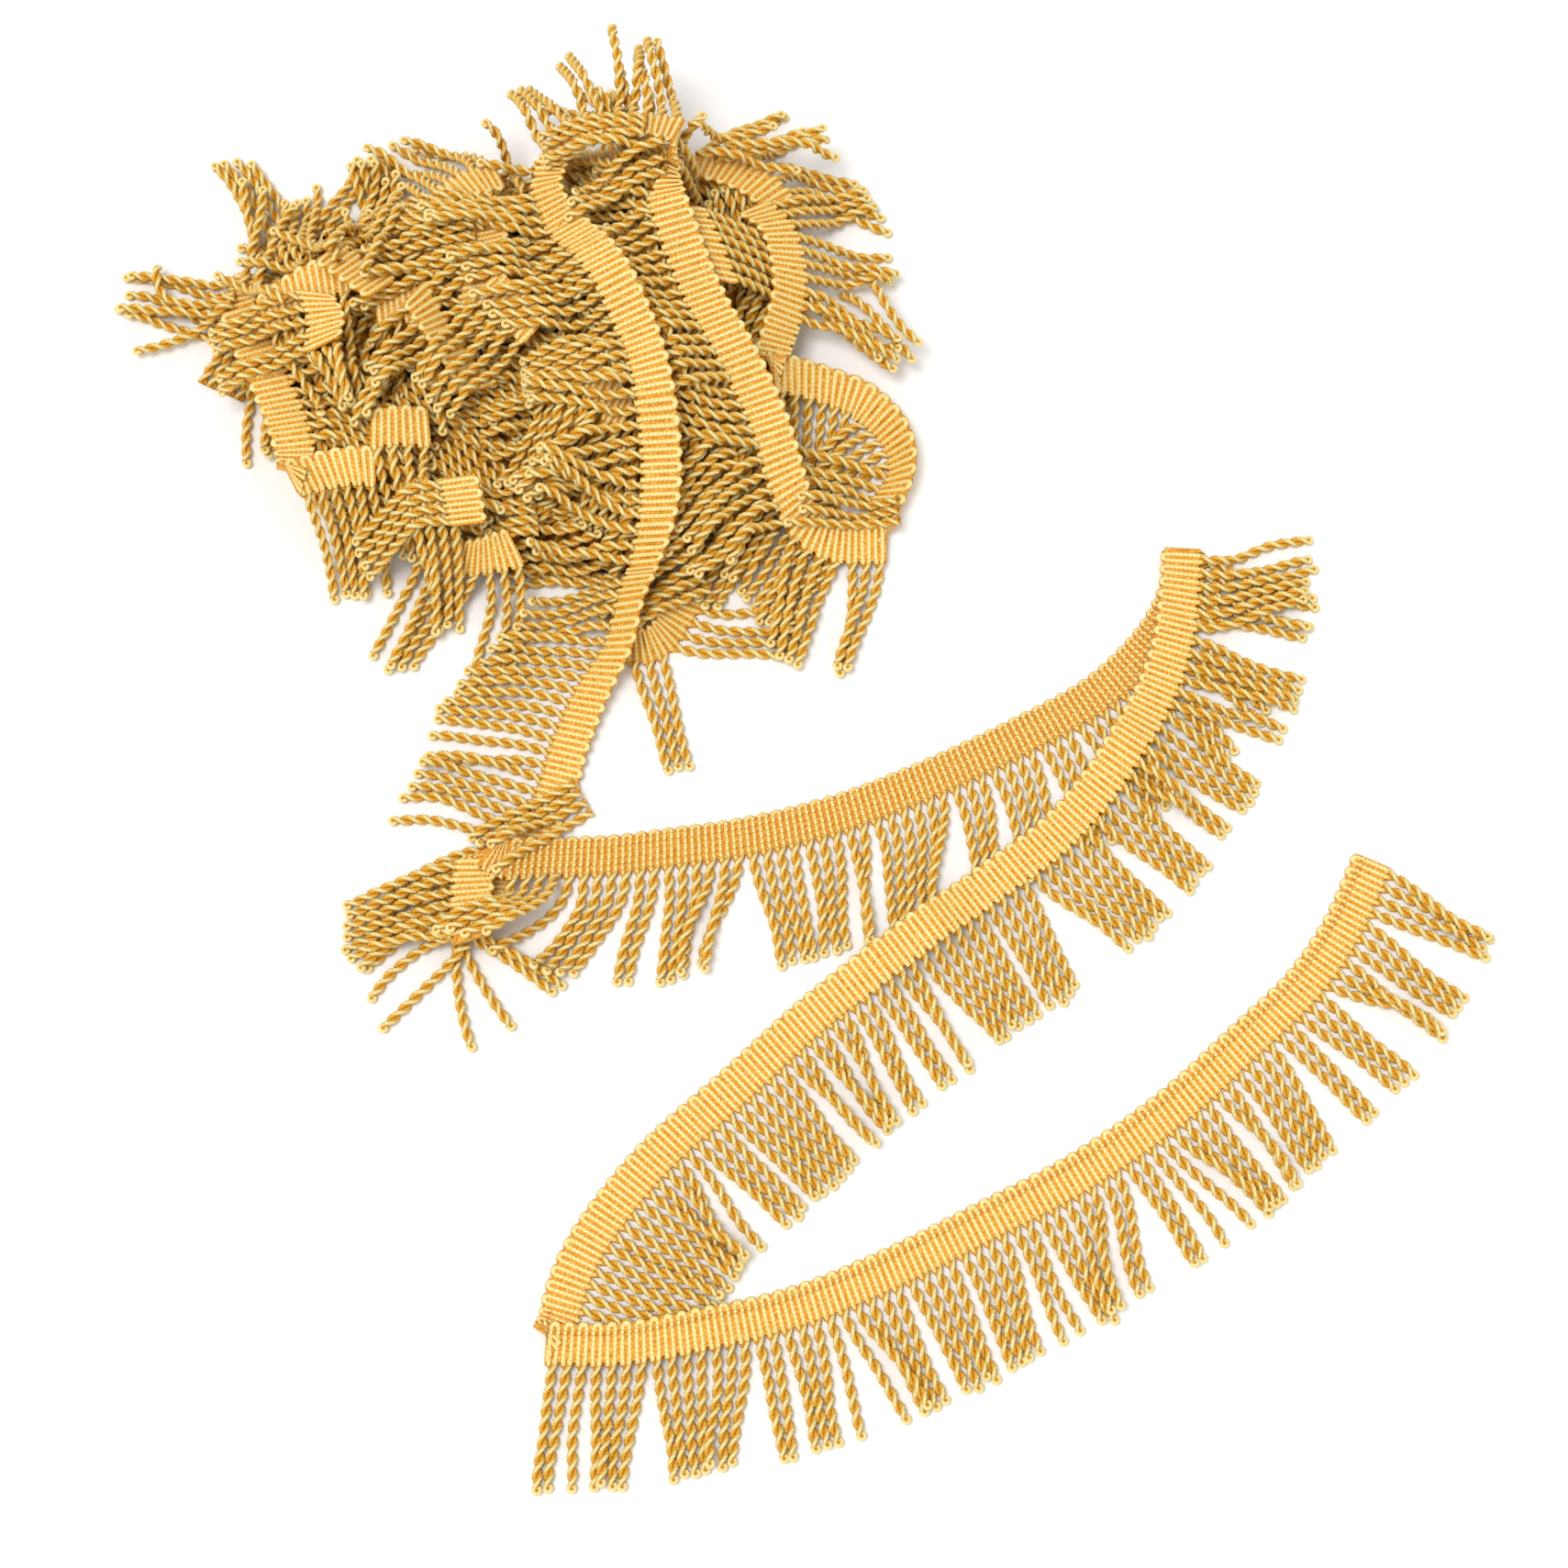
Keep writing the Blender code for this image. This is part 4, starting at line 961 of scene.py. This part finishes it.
def make_core(ground, material):
    """The inner turns of the heap, as a low closed mound, dark with painted shade."""
    rim = HEAP_MIDDLE + heap_line(CORE_INSET)
    count = len(rim)
    points = [(*HEAP_MIDDLE, float(core_height(*HEAP_MIDDLE)))]
    for ring in range(1, CORE_RINGS + 1):
        plan = HEAP_MIDDLE + (rim - HEAP_MIDDLE) * math.sin(0.5 * math.pi * ring / CORE_RINGS)
        heights = core_height(plan[:, 0], plan[:, 1])
        if ring == CORE_RINGS:
            heights = np.full(count, CORE_RIM_HEIGHT)
        points.extend(zip(plan[:, 0], plan[:, 1], heights))
    points.extend((x, y, 0.0) for x, y in rim)
    faces = []
    for k in range(count):
        n = (k + 1) % count
        faces.append((0, 1 + k, 1 + n))
        for a in range(1, 1 + CORE_RINGS * count, count):
            faces.append((a + k, a + count + k, a + count + n, a + n))
    base = 1 + CORE_RINGS * count
    faces.append(tuple(range(base, base + count)))
    core = new_object("heap_core", points, faces, material)
    shape = bmesh.new()
    shape.from_mesh(core.data)
    bmesh.ops.recalc_face_normals(shape, faces=shape.faces)
    shape.to_mesh(core.data)
    shape.free()
    shade_smooth(core.data)
    x, y = np.meshgrid(*[(np.arange(ground.size) + 0.5) * MAP_CELL - MAP_REACH] * 2, indexing="ij")
    inside = inside_rim(x, y) > 0
    ground.height[inside] = core_height(x[inside], y[inside])
    return core


def inside_line(x, y, line):
    """Which points lie inside a closed line."""
    inside = np.zeros(np.shape(x), bool)
    for (ax, ay), (bx, by) in zip(line, np.roll(line, -1, axis=0)):
        crosses = (ay > y) != (by > y)
        with np.errstate(divide="ignore", invalid="ignore"):
            at = (bx - ax) * (y - ay) / (by - ay) + ax
        inside ^= crosses & (x < at)
    return inside


def cover_core(trim, parts):
    """Locks of cords all over the core and round its foot, so that no bare core shows."""
    chance = trim.chance
    outline = HEAP_MIDDLE + heap_line(COVER_INSET)
    low, high = outline.min(axis=0), outline.max(axis=0)
    seeds = []
    for x in np.arange(low[0], high[0], COVER_SPACING):
        for y in np.arange(low[1], high[1], COVER_SPACING):
            place = np.array([x, y]) + chance.uniform(-COVER_JITTER, COVER_JITTER, 2)
            if inside_line(place[0], place[1], outline):
                seeds.append(place)
    rim = HEAP_MIDDLE + heap_line(CORE_INSET)
    travelled = running(gaps(rim))
    foot = sample(np.arange(0, travelled[-1], RIM_SPACING), travelled, rim)
    seeds = [seeds[n] for n in chance.permutation(len(seeds))]
    for n, place in enumerate([*foot, *seeds]):
        size, swing = (RIM_LOCK, RIM_SWING) if n < len(foot) else (COVER_LOCK, COVER_SWING)
        out = place - HEAP_MIDDLE
        around = math.degrees(math.atan2(out[1], out[0])) + 90
        for _ in range(COVER_TRIES):
            way = around + (180 if chance.random() < 0.5 else 0) + chance.normal(0, swing)
            ends = place + 0.5 * CORD_LENGTH * np.stack([compass(way), -compass(way)])
            if inside_line(ends[:, 0], ends[:, 1], outline).all():
                break
        start = place - 0.5 * CORD_LENGTH * compass(way)
        yarn = parts[int(np.searchsorted(COVER_PARTS, place[0]))]
        trim.lay_row(yarn, start, way, chance.normal(0, COVER_BEND), size, COVER_ROOT_SPACING)


class Value:
    """A shader socket that can be added, multiplied and so on."""

    def __init__(self, finish, socket):
        self.finish = finish
        self.socket = socket

    def maths(self, operation, *values):
        """A Math node on the given values."""
        return self.finish.node("ShaderNodeMath", dict(enumerate(values)), operation=operation)

    def __add__(self, other):
        return self.maths("ADD", self, other)

    __radd__ = __add__

    def __sub__(self, other):
        return self.maths("SUBTRACT", self, other)

    def __rsub__(self, other):
        return self.maths("SUBTRACT", other, self)

    def __mul__(self, other):
        return self.maths("MULTIPLY", self, other)

    __rmul__ = __mul__

    def __truediv__(self, other):
        return self.maths("DIVIDE", self, other)

    def __rtruediv__(self, other):
        return self.maths("DIVIDE", other, self)

    def __abs__(self):
        return self.maths("ABSOLUTE", self)


class Finish:
    """A material and the nodes put into it."""

    def __init__(self, name):
        self.material = bpy.data.materials.new(name)
        self.material.use_nodes = True
        self.tree = self.material.node_tree
        self.shader = self.tree.nodes["Principled BSDF"]

    def node(self, kind, inputs=(), output=0, stops=(), **settings):
        """A node with its settings, a ramp's stops and its inputs; gives one output, or all for None."""
        made = self.tree.nodes.new(kind)
        for key, value in settings.items():
            setattr(made, key, value)
        if stops:
            elements = made.color_ramp.elements
            elements.remove(elements[-1])
            elements[0].position = stops[0][0]
            for place, _ in stops[1:]:
                elements.new(place)
            for element, (_, code) in zip(elements, stops):
                element.color = linear(code)
        for key, value in dict(inputs).items():
            if isinstance(value, Value):
                self.tree.links.new(value.socket, made.inputs[key])
            else:
                made.inputs[key].default_value = value
        values = [Value(self, socket) for socket in made.outputs]
        return values if output is None else values[output]

    def ramp(self, factor, *stops):
        """Colours along a factor; stops are (place, colour code)."""
        return self.node("ShaderNodeValToRGB", {0: factor}, stops=stops)

    def noise(self, place, scale, **more):
        """Soft noise over a place."""
        return self.node("ShaderNodeTexNoise", {"Vector": place, "Scale": scale, **more})

    def vector(self, x, y, z):
        return self.node("ShaderNodeCombineXYZ", {0: x, 1: y, 2: z})

    def set(self, **values):
        """Sets or links the shader's own sockets."""
        for key, value in values.items():
            socket = self.shader.inputs[key.replace("_", " ")]
            if isinstance(value, Value):
                self.tree.links.new(value.socket, socket)
            else:
                socket.default_value = value

    def bump(self, strength, distance, height):
        return self.node("ShaderNodeBump", {"Strength": strength, "Distance": distance, "Height": height})


def satin_yarn(colours):
    """Satin yarn of many fine filaments: a painted highlight on ridges, orange between them and painted
    shade in creases.
    """
    finish = Finish("satin_yarn")
    kind, shade, tone, yarn = (
        finish.node("ShaderNodeAttribute", output=output, attribute_name=name)
        for name, output in (("kind", 2), ("shade", 2), ("tone", 2), ("yarn", 1)))
    around_x, around_y, along = finish.node("ShaderNodeSeparateXYZ", {0: yarn}, output=None)
    angle = around_y.maths("ARCTAN2", around_y, around_x)
    turn = abs(angle) / math.pi
    fibre_place = finish.vector(
        around_x * 2.0 + tone * 41.0, around_y * 2.0 + tone * 31.0, along * 0.16 + angle * 0.5)
    fibres = finish.noise(fibre_place, 2.6, Detail=3.0, Roughness=0.6)
    wander = finish.noise(finish.vector(tone * 53.0, along * 0.35, around_x * 0.3), 1.6, Detail=2.0)
    slubs = along * 4.4 + angle * 1.5
    slubs = slubs.maths("SINE", slubs)
    on_ply = turn + (fibres - 0.5) * 0.16 + (wander - 0.5) * 0.10
    # Both sides of a rib look alike
    rib_turn = 0.5 - abs(turn - 0.5)
    on_rib = rib_turn + shade + (fibres - 0.5) * 0.20 + (wander - 0.5) * 0.14 + slubs * 0.07
    crease, shadow, body, light, gleam, cream = (colours[key] for key in YARN_COLOURS)
    # Both ramps paint light into the colour: a painted highlight on a ply's outer ridge and on a rib's top,
    # lit orange between, and painted shade where a ply turns in towards the other ply and down a rib's
    # sides into its creases
    ply_colour = finish.ramp(
        on_ply, (0.05, cream), (0.22, cream), (0.30, gleam), (0.37, body), (0.44, light), (0.62, light),
        (0.78, body), (1.00, shadow))
    rib_colour = finish.ramp(
        on_rib, (0.00, cream), (0.05, cream), (0.15, gleam), (0.25, light), (0.37, body), (0.48, shadow),
        (0.62, crease))
    colours = {0: kind, 6: ply_colour, 7: rib_colour}
    colour = finish.node("ShaderNodeMix", colours, output=2, data_type="RGBA")
    finish.set(Base_Color=colour, Roughness=0.28 + fibres * 0.26, Normal=finish.bump(0.30, 0.0003, fibres))
    finish.set(Sheen_Weight=0.12, Sheen_Roughness=0.35, Sheen_Tint=linear(gleam), Specular_IOR_Level=0.3)
    return finish.material


def woven_tape(colours):
    """The tape under the hairpins, in shaded orange with a fine thread to it."""
    finish = Finish("tape_ground")
    weave = finish.noise(finish.node("ShaderNodeTexCoord", output=3), 900.0, Detail=3.0)
    colour = finish.ramp(weave, (0.25, colours["shadow"]), (0.5, colours["body"]), (0.75, colours["gleam"]))
    finish.set(Base_Color=colour, Roughness=0.5 + weave * 0.3, Normal=finish.bump(0.5, 0.0005, weave))
    return finish.material


def shaded_tangle(colours):
    """The inside of the heap: yarn painted in deep shade."""
    finish = Finish("heap_tangle_painted_shade")
    place = finish.node("ShaderNodeTexCoord", output=3)
    warp = finish.noise(place, 22.0, Detail=2.0)
    cords = finish.node("ShaderNodeTexWave", {
        "Vector": place, "Scale": 60.0, "Distortion": 9.0, "Detail": 3.0})
    level = cords * 0.8 + warp * 0.3
    colour = finish.ramp(level, (0.1, colours["crease"]), (0.5, colours["shadow"]), (1.0, colours["body"]))
    finish.set(Base_Color=colour, Roughness=0.5 + warp * 0.3, Normal=finish.bump(0.8, 0.002, cords))
    return finish.material


class State:
    """What the operators share: the trim with its height map and random draws, and the materials."""

    trim = None
    materials = {}

    @classmethod
    def need_core(cls):
        """Stops an operator that is called before the heap's core is made."""
        if cls.trim is None:
            raise RuntimeError("the heap core is made before what lies on it")


class FRINGE_PG_colours(bpy.types.PropertyGroup):
    """Colours of the yarn and of the table."""

    # The deepest and the brightest yarn colours are painted shade and a painted highlight, with the yarn's
    # own orange between
    crease: bpy.props.StringProperty(
        name="Crease", description="Yarn in the deepest creases", default="5A2A04")
    shadow: bpy.props.StringProperty(name="Shadow", description="Yarn in shade", default="B86E10")
    body: bpy.props.StringProperty(name="Body", description="The yarn's own orange", default="E29A20")
    light: bpy.props.StringProperty(name="Light", description="Yarn that faces the light", default="E8B13E")
    gleam: bpy.props.StringProperty(
        name="Gleam", description="Where orange turns to cream", default="EECC70")
    cream: bpy.props.StringProperty(
        name="Cream", description="The yarn's brightest shine", default="F6E4A0")
    table: bpy.props.FloatProperty(
        name="Table", description="How light the table is", default=0.95, subtype="FACTOR")


class FRINGE_PG_light(bpy.types.PropertyGroup):
    """Strengths of the studio light."""

    key: bpy.props.FloatProperty(
        name="Key", description="Strength of the large lamp above", default=1.65, min=0.0)
    sky: bpy.props.FloatProperty(
        name="Surround", description="Strength of the white surround", default=0.7, min=0.0)


class FRINGE_OT_stage(bpy.types.Operator):
    """Table, studio light and camera"""

    bl_idname = "fringe.stage"
    bl_label = "Table, light and camera"

    def execute(self, context):
        scene = context.scene
        bpy.ops.mesh.primitive_plane_add(size=TABLE_SIZE, location=(0, 0, 0))
        table = context.object
        table.name = "table"
        finish = Finish("table_white")
        shade = scene.fringe_colours.table
        finish.set(Base_Color=(shade, shade, shade, 1.0), Roughness=0.75, Specular_IOR_Level=0.2)
        table.data.materials.append(finish.material)
        world = bpy.data.worlds.new("studio")
        world.use_nodes = True
        surround = world.node_tree.nodes["Background"].inputs
        surround["Color"].default_value = (1.0, 1.0, 1.0, 1.0)
        surround["Strength"].default_value = scene.fringe_light.sky
        scene.world = world
        scene.view_settings.view_transform = "Standard"
        bpy.ops.object.light_add(type="SUN", rotation=[math.radians(angle) for angle in LAMP_TILT])
        key = context.object
        key.name = "key_light"
        key.data.energy = scene.fringe_light.key
        key.data.angle = math.radians(LAMP_WIDTH)
        target = -CENTRE * MM
        tilt = math.radians(CAMERA_ELEVATION)
        back = np.array([0.0, -math.cos(tilt), math.sin(tilt)]) * CAMERA_DISTANCE * MM
        bpy.ops.object.camera_add(location=tuple(target + back), rotation=(math.pi / 2 - tilt, 0, 0))
        camera = context.object
        camera.name = "photo_camera"
        camera.data.sensor_width = SENSOR_WIDTH
        half = 0.5 * PICTURE_POINTS * POINT_SIZE / CAMERA_DISTANCE
        camera.data.lens = 0.5 * SENSOR_WIDTH / half
        camera.data.clip_end = 20.0
        scene.camera = camera
        return {"FINISHED"}


class FRINGE_OT_heap_core(bpy.types.Operator):
    """The heap's inner turns, dark with painted shade"""

    bl_idname = "fringe.heap_core"
    bl_label = "Heap core"

    def execute(self, context):
        settings = context.scene.fringe_colours
        colours = {key: getattr(settings, key) for key in YARN_COLOURS}
        State.materials = {"yarn": satin_yarn(colours), "tape": woven_tape(colours)}
        State.trim = Trim(Ground(), np.random.default_rng(SEED))
        core = make_core(State.trim.ground, shaded_tangle(colours))
        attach(core, "root")
        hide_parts("heap")
        return {"FINISHED"}


class FRINGE_OT_heap_cords(bpy.types.Operator):
    """Locks of cords that cover the heap's core"""

    bl_idname = "fringe.heap_cords"
    bl_label = "Heap cords"

    def execute(self, context):
        State.need_core()
        parts = [Yarn() for _ in range(len(COVER_PARTS) + 1)]
        cover_core(State.trim, parts)
        for name, yarn in zip(("left", "middle", "right"), parts):
            made = yarn.make("heap_cords_" + name, State.materials["yarn"])
            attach(made, "root")
        return {"FINISHED"}


class FRINGE_OT_heap_strips(bpy.types.Operator):
    """Short stretches of trim that come out of the heap"""

    bl_idname = "fringe.heap_strips"
    bl_label = "Strips in the heap"

    def execute(self, context):
        State.need_core()
        yarn = Yarn()
        chains = []
        for strip in LOOSE_STRIPS:
            if strip.joint == "start":
                chains.append([])
            chains[-1].append(strip)
        laid = [State.trim.lay(chain, lambda strip: yarn) for chain in chains]
        loose = Yarn()
        for x, y, way, turn, count in LOCKS_UNDER:
            State.trim.lay_row(loose, (x, y), way, turn, count, LOOSE_ROOT_SPACING)
        for stray in STRAYS:
            State.trim.lay_stray(loose, *stray)
        strays = loose.make("stray_cords", State.materials["yarn"])
        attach(strays, "root")
        tape, length = make_tape("heap_tape", laid, State.materials["tape"])
        strands = yarn.make("heap_strip_yarn", State.materials["yarn"])
        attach(tape, "root")
        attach(strands, "root")
        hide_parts(*["heading_" + chain[0].name for chain in chains])
        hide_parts(*["fringe_" + strip.name for strip in LOOSE_STRIPS])
        return {"FINISHED"}


class FRINGE_OT_long_strip(bpy.types.Operator):
    """The long strip, from the top of the heap to its free end"""

    bl_idname = "fringe.long_strip"
    bl_label = "Long strip"

    def execute(self, context):
        State.need_core()
        yarns = {name: Yarn() for name, _, _ in YARN_GROUPS}
        group_of = {strip: name for name, strips, _ in YARN_GROUPS for strip in strips}
        pairs = State.trim.lay(LONG_STRIP, lambda strip: yarns[group_of[strip.name]])
        State.trim.bend = BEND_IN_HEAP
        for group, x, y, way, turn, count in LOCKS_OVER:
            State.trim.lay_row(yarns[group], (x, y), way, turn, count, LOOSE_ROOT_SPACING)
        tape, length = make_tape("heading_tape", [pairs], State.materials["tape"])
        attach(tape, "root")
        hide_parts("heading")
        for name, _, nodes in YARN_GROUPS:
            made = yarns[name].make(name, State.materials["yarn"])
            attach(made, "root")
            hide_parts(*nodes)
        return {"FINISHED"}


class FRINGE_PT_panel(bpy.types.Panel):
    """Makes the trim's pieces one by one"""

    bl_idname = "FRINGE_PT_panel"
    bl_label = "Fringe Trim"
    bl_space_type = "VIEW_3D"
    bl_region_type = "UI"
    bl_category = "Fringe Trim"

    def draw(self, context):
        for operator in OPERATORS:
            self.layout.operator(operator.bl_idname)
        for group in (context.scene.fringe_colours, context.scene.fringe_light):
            for name in group.bl_rna.properties.keys():
                if name not in {"rna_type", "name"}:
                    self.layout.prop(group, name)


OPERATORS = (
    FRINGE_OT_stage,
    FRINGE_OT_heap_core,
    FRINGE_OT_heap_cords,
    FRINGE_OT_heap_strips,
    FRINGE_OT_long_strip,
)
CLASSES = (FRINGE_PG_colours, FRINGE_PG_light, *OPERATORS, FRINGE_PT_panel)


def register():
    for item in CLASSES:
        bpy.utils.register_class(item)
    bpy.types.Scene.fringe_colours = bpy.props.PointerProperty(type=FRINGE_PG_colours)
    bpy.types.Scene.fringe_light = bpy.props.PointerProperty(type=FRINGE_PG_light)


def unregister():
    del bpy.types.Scene.fringe_light
    del bpy.types.Scene.fringe_colours
    for item in reversed(CLASSES):
        bpy.utils.unregister_class(item)


def main():
    register()
    bpy.ops.fringe.stage()
    bpy.ops.fringe.heap_core()
    bpy.ops.fringe.heap_cords()
    bpy.ops.fringe.heap_strips()
    bpy.ops.fringe.long_strip()


if __name__ == "__main__":
    main()
